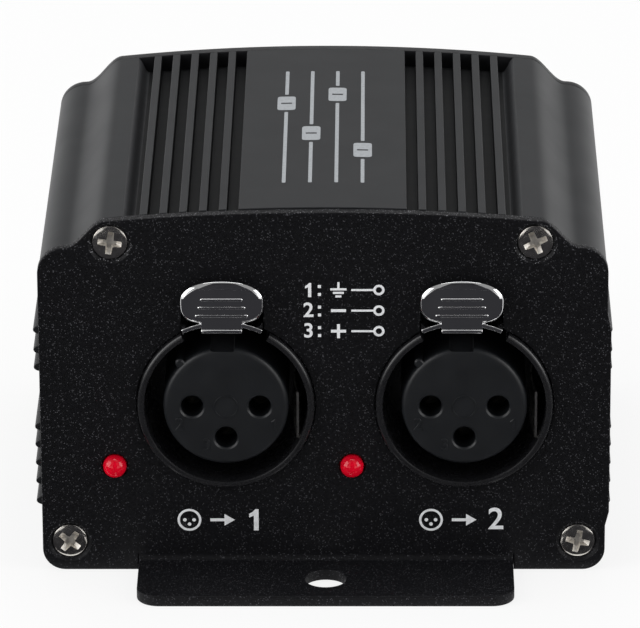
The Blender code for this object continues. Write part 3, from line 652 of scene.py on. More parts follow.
def tubeHalf(ribReach):
    deep = tube["grooveDepth"]
    half = [(tube["panelHalf"] * i / 12, domeHeight(tube["panelHalf"] * i / 12)) for i in range(13)]
    half.append((tube["panelHalf"], half[-1][1] - deep))
    for i in range(tube["fins"]):
        left = tube["firstFin"] + tube["finPitch"] * i - tube["finWidth"] / 2
        right = left + tube["finWidth"]
        half += [(left, domeHeight(left) - deep), (left, domeHeight(left))]
        half += [(right, domeHeight(right)), (right, domeHeight(right) - deep)]
    low, high = tube["recessFloorEnd"], tube["recessWallTop"]
    for i in range(11):
        x = low + (high - low) * i / 10
        half.append((x, domeHeight(x) - deep * (1 + math.cos(math.pi * i / 10)) / 2))
    half += shoulderPoints(domeHeight(form["shoulderStart"]), 18, 1)
    side = form["halfWidth"] - form["tuckSide"]
    for height in reversed(tube["ribs"]):
        for k in range(9):
            turn = math.pi * (0.5 - k / 8)
            reach = (ribReach + form["tuckSide"]) * math.cos(turn)
            half.append((side + reach, height * mm + tube["ribHalf"] * math.sin(turn)))
    return half + baseCornerPoints(8, 1)


def tubeOutline():
    left = [(-x, z) for x, z in reversed(tubeHalf(tube["leftRibReach"])) if x > 0]
    return rounded(wound(tubeHalf(tube["rightRibReach"]) + left), tube["finEdge"], 3, 40)


def tubeBore():
    inner = form["halfWidth"] - tube["wall"]
    roof = form["shoulderHeight"] - tube["wall"]
    corner = form["halfWidth"] - form["shoulderEnd"] - tube["wall"]
    around = tube["channelRadius"] + tube["channelWall"]
    upper = screwPlaces["upper_right"]
    lower = screwPlaces["lower_right"]
    half = []
    for i in range(9):
        x = (upper[0] - around) * i / 8
        half.append((x, domeHeight(x) - tube["crownWall"]))
    half += arcPoints(upper, around, 195, 300, 10)
    half.append((upper[0] + around, roof))
    half += arcPoints((inner - corner, roof - corner), corner, 90, 0, 6)
    reach, low, high, ledge = (tube[key] for key in ("slotReach", "slotLow", "slotHigh", "ledge"))
    half += [(inner, high + ledge), (reach, high + ledge), (reach, high), (inner, high)]
    half += [(inner, low), (reach, low), (reach, low - ledge)]
    half += arcPoints(lower, around, 120, 180, 8)
    half.append((lower[0] - around, tube["wall"]))
    return wound(mirrored(half), hole=True)


def makeTube():
    start = frontFace + form["sheet"] + tube["frontGap"]
    end = rearFace - form["sheet"] - tube["rearGap"]
    edge = edgeBetween(start, end, tube["sawnEdge"], 1)
    loops = [(tubeOutline(), edge), (tubeBore(), edge)]
    for place in screwPlaces.values():
        loops.append((wound(circlePoints(place, tube["channelRadius"], 28), hole=True), edge))
    piece = show("extrudedTube", slab(loops, alongY), "anodised", nodes=["extruded_housing"])
    # the grooves take a rougher finish whose darker colour is painted shade, and the slope beside the outer
    # ones takes a paler colour that is painted light
    piece.data.materials.append(finishes["groove"])
    piece.data.materials.append(finishes["slope"])
    for face in piece.data.polygons:
        x, _, z = face.center
        depth = domeHeight(x) - z
        if not 0.3 * mm < depth < 1.2 * tube["grooveDepth"]:
            continue
        if tube["panelHalf"] < abs(x) < tube["recessFloorEnd"]:
            face.material_index = 1
        elif tube["recessFloorEnd"] < abs(x) < tube["recessWallTop"]:
            face.material_index = 2


makeTube()
print("tube made")

# bent end panels
panel = dict(
    edge=0.15 * mm,
    earLeft=-24.85 * mm,
    earRight=25.45 * mm,
    earCorner=3.0 * mm,
    earHole=2.75 * mm,
    earHoleX=0.3 * mm,
    earHoleReach=6.25 * mm,
    bendInner=0.8 * mm,
    relief=0.08 * mm,
    seatRadius=2.85 * mm,
    seatHole=1.6 * mm,
    seatEdge=(0.06 * mm, 0.04 * mm),  # width and depth of a seat's soft rim
    windowGap=0.3 * mm,  # round the rear socket
    windowCorner=0.5 * mm,
    flare=0.5 * mm,  # the front panel's right side covers the ribs
    flareLow=(6.4 * mm, 8.4 * mm),
    flareHigh=(34.6 * mm, 37.0 * mm),
)
sockets = dict(
    height=24.1 * mm,
    left=-12.94 * mm,
    right=18.79 * mm,
    openingRadius=11.9 * mm,
    slotHalf=5.5 * mm,
    slotArch=13.15 * mm,
    slotRise=2.3 * mm,
    latchShift=-0.4 * mm,
)
lamps = dict(
    height=15.15 * mm,
    left=-27.9 * mm,
    right=3.83 * mm,
    hole=1.72 * mm,
    radius=1.58 * mm,
    tip=-1.55 * mm,  # ahead of the panel's face
    back=4.1 * mm,
    flange=1.9 * mm,
    flangeThick=1.0 * mm,
)
bendTop = panel["bendInner"] + form["sheet"]
bendMiddle = panel["bendInner"] + form["sheet"] / 2
bendRun = bendMiddle * math.pi / 2


def flatReach(reach):
    # height in the flat sheet of what ends that far in front of the panel once bent
    return bendTop - bendRun - (reach - panel["bendInner"])


def panelOutline(front):
    begin = form["shoulderStart"]
    top = panelTop if front else domeHeight
    tuck = 0 if front else 1
    upper = [(begin * i / 16, top(begin * i / 16)) for i in range(16)] + shoulderPoints(top(begin), 18, tuck)
    lower = baseCornerPoints(10, tuck)
    flare = []
    if front:
        side = form["halfWidth"]
        wide = side + panel["flare"]
        low, high = panel["flareLow"], panel["flareHigh"]
        flare = [(side, high[1]), (wide, high[0]), (wide, low[1]), (side, low[0])]
    left, right, relief = panel["earLeft"], panel["earRight"], panel["relief"]
    tip = flatReach(form["earLength"])
    corner = panel["earCorner"]
    ear = [(right + relief, 0.0), (right + relief, bendTop), (right, bendTop)]
    ear += arcPoints((right - corner, tip + corner), corner, 0, -90, 10)
    ear += arcPoints((left + corner, tip + corner), corner, -90, -180, 10)
    ear += [(left, bendTop), (left - relief, bendTop), (left - relief, 0.0)]
    return wound(upper + flare + lower + ear + [(-x, z) for x, z in reversed(upper + lower) if x > 0])


def bentSheet(mesh, side):
    # folds the ear forward; side is -1 for the front panel and 1 for the rear one
    shape = bmesh.new()
    shape.from_mesh(mesh)
    for k in range(11):
        level = bendTop - bendRun * k / 10
        everything = list(shape.verts) + list(shape.edges) + list(shape.faces)
        bmesh.ops.bisect_plane(shape, geom=everything, plane_co=(0, 0, level), plane_no=(0, 0, 1), dist=1e-7)
    margin = panel["relief"] / 2
    for vert in shape.verts:
        x, depth, z = vert.co
        drop = bendTop - z
        if drop > 0 and panel["earLeft"] - margin < x < panel["earRight"] + margin:
            turn = min(drop / bendMiddle, math.pi / 2)
            past = max(drop - bendRun, 0)
            radius = panel["bendInner"] + depth
            depth = radius * math.cos(turn) - panel["bendInner"] - past
            z = bendTop - radius * math.sin(turn)
        face = frontFace if side < 0 else rearFace
        vert.co = (x, face - side * depth, z)
    return meshOf(shape)


def panelLoops(front, openings):
    edge = roundedEdge(form["sheet"], panel["edge"])
    seatDepth = panel["seatRadius"] - panel["seatHole"]
    width, rim = panel["seatEdge"]
    seat = [(-width, 0), (0, rim), (seatDepth, seatDepth + rim), (seatDepth, form["sheet"])]
    loops = [(panelOutline(front), edge)]
    hole = circlePoints((panel["earHoleX"], flatReach(panel["earHoleReach"])), panel["earHole"], 56)
    loops.append((wound(hole, hole=True), edge))
    for place in screwPlaces.values():
        loops.append((wound(circlePoints(place, panel["seatRadius"], 56), hole=True), seat))
    return loops + [(wound(opening, hole=True), edge) for opening in openings]


def socketOpening(x):
    # a round hole with an arched slot over it for the latch
    radius, middle, half = sockets["openingRadius"], sockets["latchShift"], sockets["slotHalf"]
    start = math.degrees(math.acos((middle + half) / radius))
    end = math.degrees(math.acos((middle - half) / radius))
    around = arcPoints((0, 0), radius, start, end - 360, 110)
    lean = math.degrees(math.asin(half / sockets["slotArch"]))
    arch = arcPoints((middle, sockets["slotRise"]), sockets["slotArch"], 90 + lean, 90 - lean, 24)
    return [(x + u, sockets["height"] + v) for u, v in around + arch]


def makePanels():
    openings = [socketOpening(sockets[side]) for side in ("left", "right")]
    for side in ("left", "right"):
        openings.append(circlePoints((lamps[side], lamps["height"]), lamps["hole"], 40))
    front = bentSheet(slab(panelLoops(True, openings), alongY), -1)
    piece = show("frontPanel", front, "powder", nodes=["front_plate"], smooth=40)
    # the coat is a little glossier on edges and in the screws' seats, and brighter glints are painted into
    # its colour there as highlights
    piece.data.materials.append(finishes["powderEdgeHighlight"])
    for face in piece.data.polygons:
        if face.center.z > 2 * bendTop and abs(face.normal.y) < 0.95:
            face.material_index = 1
    low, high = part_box("usb_shell")
    gap = panel["windowGap"]
    window = boxPoints(low.x - gap, low.z - gap, high.x + gap, high.z + gap)
    loops = panelLoops(False, [rounded(window, panel["windowCorner"])])
    rear = bentSheet(slab(loops, alongY), 1)
    # the rear panel's paler coat is painted light on its top edge
    show("rearPanel", rear, "rearCoatPaintedLight", nodes=["rear_plate"], smooth=40)


makePanels()
print("panels made")

# cross-head screws
screw = dict(
    head=2.375 * mm,
    faceTop=0.05 * mm,  # the face is a low dome: its middle's depth and its drop to the rim
    faceDrop=0.26 * mm,
    coneStart=0.5 * mm,
    shank=1.25 * mm,
    length=10.5 * mm,
    point=1.2 * mm,  # length of the tapered tip
    crossFace=(0.46 * mm, 1.62 * mm),  # half width and reach of the recess's arms
    crossFoot=(0.34 * mm, 0.90 * mm),
    recess=0.85 * mm,
    pitch=0.6 * mm,
    thread=0.12 * mm,
    turns=[8, -24, 38, 12, 20, -10, 45, 30],  # degrees that each one was left at
)


def crossOutline(arm, span):
    tip = arm * 0.8
    cross = [(arm, arm), (tip, span), (-tip, span), (-arm, arm), (-span, tip), (-span, -tip)]
    cross += [(-u, -v) for u, v in cross]
    return rounded(wound(cross), 0.1 * mm, 2)


def faceDepth(radius):
    return screw["faceTop"] + screw["faceDrop"] * (radius / screw["head"]) ** 2


def screwHead():
    head, cone = screw["head"], screw["coneStart"]
    profile = [(0, screw["faceTop"])]
    for k in range(1, 9):
        radius = head * 0.93 * k / 8
        profile.append((radius, faceDepth(radius)))
    profile += [(head * 0.975, 0.335 * mm), (head, 0.42 * mm), (head, cone)]
    coneEnd = cone + head - screw["shank"]
    profile += [(screw["shank"], coneEnd), (0, coneEnd)]
    wide = crossOutline(*screw["crossFace"])
    narrow = crossOutline(*screw["crossFoot"])
    driver = loft([(wide, -0.5 * mm), (wide, 0.15 * mm), (narrow, screw["recess"])], alongY)
    return cut(turned(profile, 64), driver)


def screwThread():
    # a helical ridge round the shank
    shape = bmesh.new()
    sides = 18
    begin = screw["coneStart"] + screw["head"] - screw["shank"]
    rows = []
    steps = int((screw["length"] - begin) / screw["pitch"] * 6)
    for i in range(steps + 1):
        along = begin + (screw["length"] - begin) * i / steps
        taper = min(1.0, (screw["length"] - along) / screw["point"])
        row = []
        for k in range(sides):
            wave = (along / screw["pitch"] - k / sides) % 1
            ridge = screw["thread"] * (1 - abs(2 * wave - 1)) * taper
            radius = (screw["shank"] - screw["thread"] + ridge) * (0.6 + 0.4 * taper)
            turn = 2 * math.pi * k / sides
            row.append(shape.verts.new((radius * math.cos(turn), along, radius * math.sin(turn))))
        rows.append(row)
    bridge(shape, rows)
    shape.faces.new(rows[0])
    shape.faces.new(rows[-1])
    return meshOf(shape)


def makeScrews():
    mesh = gathered([screwHead(), screwThread()])
    turns = iter(screw["turns"])
    for end, y, heading in (("front", frontFace, 0.0), ("rear", rearFace, math.pi)):
        for corner, (x, z) in screwPlaces.items():
            node = f"{end}_screw_{corner}"
            spin = math.radians(next(turns))
            show(f"{end}Screw_{corner}", mesh, "nickel", nodes=[node],
                 place=(x, y, z), turn=(0, spin, heading), smooth=38)
    # the pressed recess is duller than the head round it, and its paler colour is painted light
    mesh.materials.append(finishes["pressed"])
    for face in mesh.polygons:
        x, depth, z = face.center
        out = math.hypot(x, z)
        sunk = faceDepth(out) + 0.09 * mm < depth < 1.01 * screw["recess"]
        if sunk and out < screw["crossFace"][1]:
            face.material_index = 1


makeScrews()
print("screws made")

# moulded shell of a three-pin socket, round its own axis
shell = dict(
    ring=11.8 * mm,
    ringEdge=0.5 * mm,
    ringBlank=4.0 * mm,  # its thickness before it is bored, and how far it goes into the body
    ringRoot=3.0 * mm,
    bore=10.85 * mm,
    boreEdge=0.22 * mm,
    proud=1.0 * mm,
    gapHalf=30,  # degrees each side of the top
    depth=13.0 * mm,
    half=12.4 * mm,
    bottom=-13.8 * mm,
    top=17.5 * mm,
    corner=0.8 * mm,
    edge=0.3 * mm,
    back=20.0 * mm,
    front=1.8 * mm,
    channelHalf=5.9 * mm,
    channelFloor=6.0 * mm,
    roof=16.2 * mm,
    spigot=7.0 * mm,
    pivotY=13.5 * mm,
    pivotZ=12.6 * mm,
    pinHole=0.8 * mm,
    clear=3.0 * mm,  # how far the shapes that cut it reach past it
)


def socketShell():
    front, back, proud = shell["front"], shell["back"], -shell["proud"]
    outer = wound(boxPoints(-shell["half"], shell["bottom"], shell["half"], shell["top"]))
    edge = edgeBetween(front, back, shell["edge"], 2)
    body = slab([(rounded(outer, shell["corner"]), edge)], alongY)
    ring, root = shell["ring"], front + shell["ringRoot"]
    nose = [(ring - shell["ringBlank"], root), (ring - shell["ringBlank"], proud)]
    nose += roundedRim(ring, shell["ringEdge"], proud, 6) + [(ring, root)]
    gap = shell["gapHalf"]
    body = join(body, turned(nose, 120, start=90 + gap, end=450 - gap, ring=True))
    bore, lip, ahead = shell["bore"], shell["boreEdge"], -shell["clear"]
    hole = [(0, ahead), (bore + lip, ahead), (bore + lip, proud)]
    hole += [(bore + lip * 0.3, proud + lip * 0.3), (bore, proud + lip)]
    hole += [(bore, shell["depth"]), (0, shell["depth"])]
    left = sockets["latchShift"] - shell["channelHalf"]
    right = sockets["latchShift"] + shell["channelHalf"]
    channel = wound(boxPoints(left, shell["channelFloor"], right, shell["roof"]))
    channel = slab([(channel, [(0, front - mm), (0, back - 2 * mm)])], alongY)
    spigot = circlePoints((0, 0), shell["spigot"], 48)
    spigot = slab([(spigot, [(0, shell["depth"] - mm), (0, back + mm)])], alongY)
    pivot = circlePoints((shell["pivotY"], shell["pivotZ"]), shell["pinHole"], 24)
    pinHoles = slab([(pivot, [(0, left - 2 * mm), (0, right + 2 * mm)])], alongX)
    return cut(body, turned(hole, 120), channel, spigot, pinHoles)


# insulator of a socket
insert = dict(
    radius=8.35 * mm,
    front=-0.9 * mm,
    edge=0.75 * mm,
    seat=12.7 * mm,
    spigot=6.7 * mm,
    back=21.0 * mm,
    holeRadius=1.5 * mm,
    holeLead=0.24 * mm,
    contactHole=1.75 * mm,
    holeStep=1.5 * mm,
    pinCircle=4.5 * mm,
    keyHalf=0.6 * mm,
    keyFoot=7.0 * mm,
    keyReach=9.2 * mm,
    keyTurn=-45,  # degrees from the top
    notchHalf=1.6 * mm,
    notchLow=7.85 * mm,
    notchHigh=10.0 * mm,
    notchDepth=9.0 * mm,
    digit=1.7 * mm,  # height of the moulded numbers
    digitProud=0.11 * mm,
    digitPlaces=[(6.4 * mm, -2.6 * mm), (-6.2 * mm, -2.6 * mm), (-2.6 * mm, -5.6 * mm)],
    mark=1.55 * mm,  # radius of the mould's plain round mark, and half its line's width
    moulded=0.1 * mm,
)
pinPlaces = [(insert["pinCircle"], 0.0), (-insert["pinCircle"], 0.0), (0.0, -insert["pinCircle"])]


def digitMesh(text, height, thickness, bevel=0.0, heavier=0.0):
    # a flat digit in the XZ plane, centred, with its face towards the front
    if text == "1":
        shares = [(-0.02, -0.5), (0.19, -0.5), (0.19, 0.5), (0.05, 0.5)]
        shares += [(-0.06, 0.38), (-0.22, 0.28), (-0.22, 0.11), (-0.02, 0.2)]
        outline = wound([(u * height, v * height) for u, v in shares])
        edge = [(-bevel, -thickness / 2), (0, bevel - thickness / 2), (0, thickness / 2)]
        return slab([(outline, edge)], alongY)
    data = bpy.data.curves.new("digits", "FONT")
    data.offset = heavier
    data.body = text
    data.size = height / 0.7
    data.align_x = "CENTER"
    data.align_y = "CENTER"
    data.extrude = thickness / 2 - bevel
    data.bevel_depth = bevel
    data.resolution_u = 6
    holder = bpy.data.objects.new("digits", data)
    bpy.context.scene.collection.objects.link(holder)
    evaluated = holder.evaluated_get(bpy.context.evaluated_depsgraph_get())
    mesh = bpy.data.meshes.new_from_object(evaluated)
    bpy.data.objects.remove(holder)
    mesh.transform(Matrix.Rotation(math.pi / 2, 4, "X"))
    return mesh


def socketInsert():
    front, radius, soft = insert["front"], insert["radius"], insert["edge"]
    profile = [(0, front), (radius - soft * 1.6, front + 0.01 * mm)]
    profile += roundedRim(radius, soft, front, 7, 1)
    seat, back, spigot = insert["seat"], insert["back"], insert["spigot"]
    profile += [(radius, seat), (spigot, seat), (spigot, back), (0, back)]
    body = turned(profile, 120)
    half = insert["keyHalf"]
    reach = insert["keyReach"] - half
    foot = insert["keyFoot"]
    keyOutline = [(-half, foot), (half, foot)] + arcPoints((0, reach), half, 0, 180, 10)
    keyEdge = [(-0.2 * mm, front + 0.25 * mm), (0, front + 0.45 * mm), (0, seat - 0.1 * mm)]
    key = swung(slab([(wound(keyOutline), keyEdge)], alongY), insert["keyTurn"], "Y")
    left, right = (sockets["latchShift"] + side * insert["notchHalf"] for side in (-1, 1))
    notch = rounded(wound(boxPoints(left, insert["notchLow"], right, insert["notchHigh"])), 0.2 * mm, 2)
    ahead = -shell["clear"]
    body = cut(join(body, key), slab([(notch, [(0, ahead), (0, insert["notchDepth"])])], alongY))
    bore, wide, lead = insert["holeRadius"], insert["contactHole"], insert["holeLead"]
    step, past = insert["holeStep"], back + shell["clear"]
    for place in pinPlaces:
        hole = [(0, ahead), (bore + lead, ahead), (bore + lead, front), (bore, front + lead)]
        hole += [(bore, step), (wide, step), (wide, past), (0, past)]
        body = cut(body, turned(hole, 40, centre=place))
    return body


def insertNumbers():
    # the contacts' numbers, moulded beside their holes, and the mould's round mark
    face, half, radius = insert["front"], insert["moulded"], insert["mark"]
    marks = []
    for number, (x, z) in enumerate(insert["digitPlaces"], start=1):
        mark = digitMesh(str(number), insert["digit"], 2 * insert["digitProud"], 0.06 * mm)
        marks.append(moved(mark, x, face, z))
    section = [(radius - half, face + 0.02 * mm), (radius - half * 0.4, face - half)]
    section += [(radius + half * 0.4, face - half), (radius + half, face + 0.02 * mm)]
    marks.append(turned(section, 64, ring=True))
    return gathered(marks)


# turned contacts, with tails of wire
contact = dict(
    radius=1.45 * mm,
    bore=1.2 * mm,
    front=3.6 * mm,
    depth=11.0 * mm,
    end=1.2 * mm,  # past the shell's back
    tail=0.4 * mm,
    tailReach=22.6 * mm,
    tailBend=0.8 * mm,
)


def contactSleeve(drop):
    # blind from the front, with a tail that goes down into the board
    radius, bore, front = contact["radius"], contact["bore"], contact["front"]
    floor = front + contact["depth"]
    back = shell["back"] + contact["end"]
    profile = [(0, floor), (bore, floor), (bore, front + 0.2 * mm)]
    profile += [(bore + 0.1 * mm, front), (radius - 0.08 * mm, front + 0.05 * mm), (radius, front + 0.2 * mm)]
    profile += [(radius, back - 0.1 * mm), (radius - 0.1 * mm, back), (0, back)]
    bend = contact["tailBend"]
    straight = contact["tailReach"] - bend
    route = [(0, back - contact["tail"], 0), (0, straight, 0)]
    for k in range(1, 5):
        turn = math.pi / 8 * k
        route.append((0, straight + bend * math.sin(turn), -bend * (1 - math.cos(turn))))
    route.append((0, contact["tailReach"], -drop))
    return gathered([turned(profile, 32), wire(route, contact["tail"], 12)])


# thin sprung strip beside the insert, bowed towards it
strip = dict(
    start=0.4 * mm,
    length=12.3 * mm,
    out=9.4 * mm,  # from the socket's axis
    bow=0.5 * mm,
    thick=0.3 * mm,
    low=-5.0 * mm,
    high=1.6 * mm,
)


def groundLeaf():
    points = []
    for i in range(21):
        share = i / 20
        x = strip["out"] - strip["bow"] * math.sin(math.pi * share)
        points.append((x, strip["start"] + strip["length"] * share))
    outline = points + [(x + strip["thick"], y) for x, y in reversed(points)]
    return slab([(wound(outline), edgeBetween(strip["low"], strip["high"], 0.08 * mm, 2))], alongZ)


# one-piece push latch, measured from the socket's axis and the panel's face
latch = dict(
    front=-2.9 * mm,
    thick=0.7 * mm,
    half=5.5 * mm,
    low=12.45 * mm,
    high=18.5 * mm,
    rim=0.56 * mm,  # width of the polished bevel
    rimDrop=0.40 * mm,
    tongueHalf=2.7 * mm,
    tongueLow=11.3 * mm,
    tongueBend=0.5 * mm,
    tongueThick=0.55 * mm,
    tongueReach=6.5 * mm,
    lip=0.3 * mm,  # radius of the bead across the tongue's foot
    saddleOuter=12.9 * mm,
    saddleThick=0.6 * mm,
    saddleEdge=0.14 * mm,
    saddleHalf=24.8,  # degrees
    saddleBack=12.4 * mm,
    hookTip=8.95 * mm,
    hookRoot=12.7 * mm,
    hookSpan=(6.2 * mm, 6.8 * mm, 7.5 * mm, 8.2 * mm),  # root, tip, tip and root, front to rear
    hookHalf=1.3 * mm,
    bore=0.8 * mm,
    eyeHalf=5.4 * mm,
    eyeThick=1.1 * mm,
    eyeWall=0.7 * mm,
    eyeLow=11.2 * mm,
    grips=3,  # raised bars on the tab for the thumb, each shorter than the one below it
    gripHalf=3.3 * mm,
    gripShorter=0.35 * mm,
    gripStart=1.35 * mm,
    gripPitch=1.15 * mm,
    gripRadius=0.2 * mm,
    gripProud=0.17 * mm,
    pin=0.5 * mm,  # radius
    pinSeat=1.5 * mm,
    edge=0.12 * mm,
)


def tabOutline(steps):
    middle = (latch["low"] + latch["high"]) / 2
    tall = (latch["high"] - latch["low"]) / 2
    points = []
    for i in range(steps):
        turn = 2 * math.pi * i / steps
        fullness = 2.3 if math.sin(turn) >= 0 else 3.2
        u = math.copysign(abs(math.cos(turn)) ** (2 / fullness), math.cos(turn))
        v = math.copysign(abs(math.sin(turn)) ** (2 / fullness), math.sin(turn))
        points.append((latch["half"] * u, middle + tall * v))
    return wound(points)


def tabMesh():
    # the shield that is pressed, with its bevelled rim
    front, rim, drop = latch["front"], latch["rim"], latch["rimDrop"]
    back = front + latch["thick"]
    edge = [(-rim, front), (-rim * 0.5, front + drop * 0.42), (-rim * 0.06, front + drop * 0.95)]
    edge += [(0, front + drop * 1.12), (0, back - 0.1 * mm), (-0.1 * mm, back)]
    return slab([(tabOutline(96), edge)], alongY)


def tongueMesh():
    # goes down from the tab and bends back under it
    front, bend, thick = latch["front"], latch["tongueBend"], latch["tongueThick"]
    low, end = latch["tongueLow"], front + latch["tongueReach"]
    top = latch["low"] + 0.8 * mm
    inner = bend + 0.1 * mm
    section = [(front, top)] + arcPoints((front + bend, low + bend), bend, 180, 270, 8)
    section += [(end, low), (end, low + thick), (front + inner, low + thick)]
    section += [(front + thick, low + inner), (front + thick, top)]
    edge = edgeBetween(-latch["tongueHalf"], latch["tongueHalf"], 0.1 * mm)
    bead = circlePoints((front, low + latch["lip"] + 0.02 * mm), latch["lip"], 24)
    return join(slab([(wound(section), edge)], alongX), slab([(bead, edge)], alongX))


def saddleMesh():
    half, soft = latch["saddleHalf"], latch["saddleEdge"]
    outer = arcPoints((0, 0), latch["saddleOuter"], 90 - half, 90 + half, 36)
    inner = arcPoints((0, 0), latch["saddleOuter"] - latch["saddleThick"], 90 + half, 90 - half, 36)
    front = latch["front"] + 0.15 * mm
    edge = edgeBetween(front, latch["saddleBack"], soft)
    return slab([(rounded(wound(outer + inner), soft, 3), edge)], alongY)


def gripMesh(k):
    half = latch["gripHalf"] - latch["gripShorter"] * k
    height = latch["low"] + latch["gripStart"] + latch["gripPitch"] * k
    radius = latch["gripRadius"]
    outline = arcPoints((half, height), radius, -90, 90, 8) + arcPoints((-half, height), radius, 90, 270, 8)
    edge = []
    for turn in (0, 22, 45, 68, 90):
        t = math.radians(turn)
        edge.append((0.15 * mm * (math.sin(t) - 1), latch["front"] - latch["gripProud"] * math.cos(t)))
    edge.append((0, latch["front"] + 0.1 * mm))
    return slab([(wound(outline), edge)], alongY)


def latchLever():
    eyes = []
    pivot = (shell["pivotY"], shell["pivotZ"])
    begin = latch["saddleBack"] - 3 * mm
    section = [(begin, latch["eyeLow"])] + arcPoints(pivot, latch["bore"] + latch["eyeWall"], -90, 90, 16)
    section.append((begin, latch["eyeLow"] + 1.2 * mm))
    for start in (-latch["eyeHalf"], latch["eyeHalf"] - latch["eyeThick"]):
        edge = edgeBetween(start, start + latch["eyeThick"], latch["edge"], 2)
        eyes.append(slab([(wound(section), edge)], alongX))
    heights = (latch["hookRoot"], latch["hookTip"], latch["hookTip"], latch["hookRoot"])
    hook = rounded(wound(list(zip(latch["hookSpan"], heights))), 0.2 * mm)
    hook = slab([(hook, edgeBetween(-latch["hookHalf"], latch["hookHalf"], latch["edge"], 2))], alongX)
    lever = join(tabMesh(), tongueMesh(), saddleMesh(), *eyes, hook)
    lever = join(lever, *(gripMesh(k) for k in range(latch["grips"])))
    bore = slab([(circlePoints(pivot, latch["bore"], 28), [(0, -10 * mm), (0, 10 * mm)])], alongX)
    # its own origin is the pivot
    return moved(cut(lever, bore), 0, -shell["pivotY"], -shell["pivotZ"])


def latchPin():
    radius, reach = latch["pin"], shell["channelHalf"] + latch["pinSeat"]
    blunt = radius - 0.08 * mm
    profile = [(0, -reach), (blunt, -reach), (radius, 0.1 * mm - reach), (radius, reach - 0.1 * mm)]
    return turned(profile + [(blunt, reach), (0, reach)], 24, alongX)


# coil between the latch's saddle and the channel's roof, short enough for the latch to lift
spring = dict(
    gauge=0.17 * mm,
    radius=0.95 * mm,
    turns=4.5,
    lowGap=0.6 * mm,
    highGap=0.3 * mm,
    back=1.2 * mm,  # ahead of the saddle's rear end
)


def latchCoil():
    gauge, radius = spring["gauge"], spring["radius"]
    low = latch["saddleOuter"] + spring["lowGap"] + gauge
    high = shell["roof"] - spring["highGap"] - gauge
    route = []
    for i in range(111):
        share = i / 110
        turn = 2 * math.pi * spring["turns"] * share
        route.append((radius * math.cos(turn), radius * math.sin(turn), low + (high - low) * share))
    return wire(route, gauge, 8, lean=(0, 0, 1))


def makeSockets():
    shellMesh = socketShell()
    print("socket shell cut")
    insertMesh = socketInsert()
    numbers = insertNumbers()
    leaf = groundLeaf()
    lever = latchLever()
    coil = latchCoil()
    pin = latchPin()
    for side in ("left", "right"):
        end = side.capitalize()
        origin = Vector((sockets[side], frontFace, sockets["height"]))
        pivot = origin + Vector((sockets["latchShift"], shell["pivotY"], shell["pivotZ"]))
        seat = origin + Vector((sockets["latchShift"], latch["saddleBack"] - spring["back"], 0))
        show(f"socketShell{end}", shellMesh, "shellNylon",
             nodes=[f"xlr_shell_{side}"], place=origin)
        show(f"socketInsert{end}", insertMesh, "insertNylon",
             nodes=[f"xlr_insert_{side}"], place=origin)
        show(f"insertNumbers{end}", numbers, "insertNylon", place=origin)
        for number, (u, v) in enumerate(pinPlaces, start=1):
            node = f"xlr_contact_{number}_{side}"
            sleeve = contactSleeve(sockets["height"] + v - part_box(node)[0].z)
            spot = origin + Vector((u, 0, v))
            show(f"contact{number}{end}", sleeve, "silver", nodes=[node], place=spot)
        show(f"groundLeaf{end}", leaf, "silver",
             nodes=[f"xlr_ground_spring_{side}"], place=origin)
        show(f"latchLever{end}", lever, "chrome", f"latch_lever_{side}",
             nodes=[f"latch_{side}"], place=pivot, smooth=38)
        show(f"latchPin{end}", pin, "steel", nodes=[f"latch_pin_{side}"], place=pivot)
        show(f"latchCoil{end}", coil, "steel",
             nodes=[f"latch_spring_{side}"], place=seat, smooth=60)


makeSockets()
print("sockets made")


def makeLamps():
    radius, tip, back, flange = (lamps[key] for key in ("radius", "tip", "back", "flange"))
    ledge = back - lamps["flangeThick"]
    profile = [(0, tip)] + roundedRim(radius, radius, tip, 12, 1)
    profile += [(radius, ledge), (flange - 0.1 * mm, ledge), (flange, ledge + 0.1 * mm)]
    profile += [(flange, back), (0, back)]
    lens = turned(profile, 56)
    for side in ("left", "right"):
        place = (lamps[side], frontFace, lamps["height"])
        show(f"lampLens{side.capitalize()}", lens, "resin",
             nodes=[f"lamp_{side}"], place=place)


makeLamps()
print("lamps made")

# printed signs on the front panel: plain numbers and general signs
signs = dict(
    ink=0.02 * mm,
    heavier=0.05 * mm,
    rowTop=40.45 * mm,
    rowPitch=2.93 * mm,
    rowLeft=-1.9 * mm,
    rowHeight=2.0 * mm,
    colon=1.46 * mm,  # places along a row are measured from its digit
    colonHeights=(-0.62 * mm, 0.5 * mm),
    colonHalf=0.21 * mm,
    sign=3.97 * mm,
    bold=0.2 * mm,  # half widths of the lines
    fine=0.15 * mm,
    lead=(5.67 * mm, 8.57 * mm),
    terminal=9.32 * mm,
    terminalRing=(0.75 * mm, 0.42 * mm),
    labels=dict(Left=("1", -13.8 * mm), Right=("2", 18.6 * mm)),
    labelMiddle=7.3 * mm,
    labelHeight=3.1 * mm,
    labelDigit=4.5 * mm,  # places along a label are measured from its middle
    labelRing=-4.2 * mm,
    labelRadii=(1.6 * mm, 1.28 * mm),
    dots=0.62 * mm,
    dotRadius=0.25 * mm,
    arrow=(-1.4 * mm, 0.5 * mm, 1.9 * mm),  # its foot, its head's base and its tip
    arrowHalf=(0.21 * mm, 0.85 * mm),
)


def printed(*loops):
    edge = [(0, frontFace - signs["ink"]), (0, frontFace + 0.01 * mm)]
    return slab([(points, edge) for points in loops], alongY)


def printedBar(left, right, z, half):
    return printed(wound(boxPoints(left, z - half, right, z + half)))


def printedRing(x, z, radii, sides):
    outer, inner = (circlePoints((x, z), radius, sides) for radius in radii)
    return printed(outer, wound(inner, hole=True))


def printedDigit(text, x, z, height):
    digit = digitMesh(text, height, signs["ink"], heavier=signs["heavier"])
    return moved(digit, x, frontFace - signs["ink"] / 2, z)


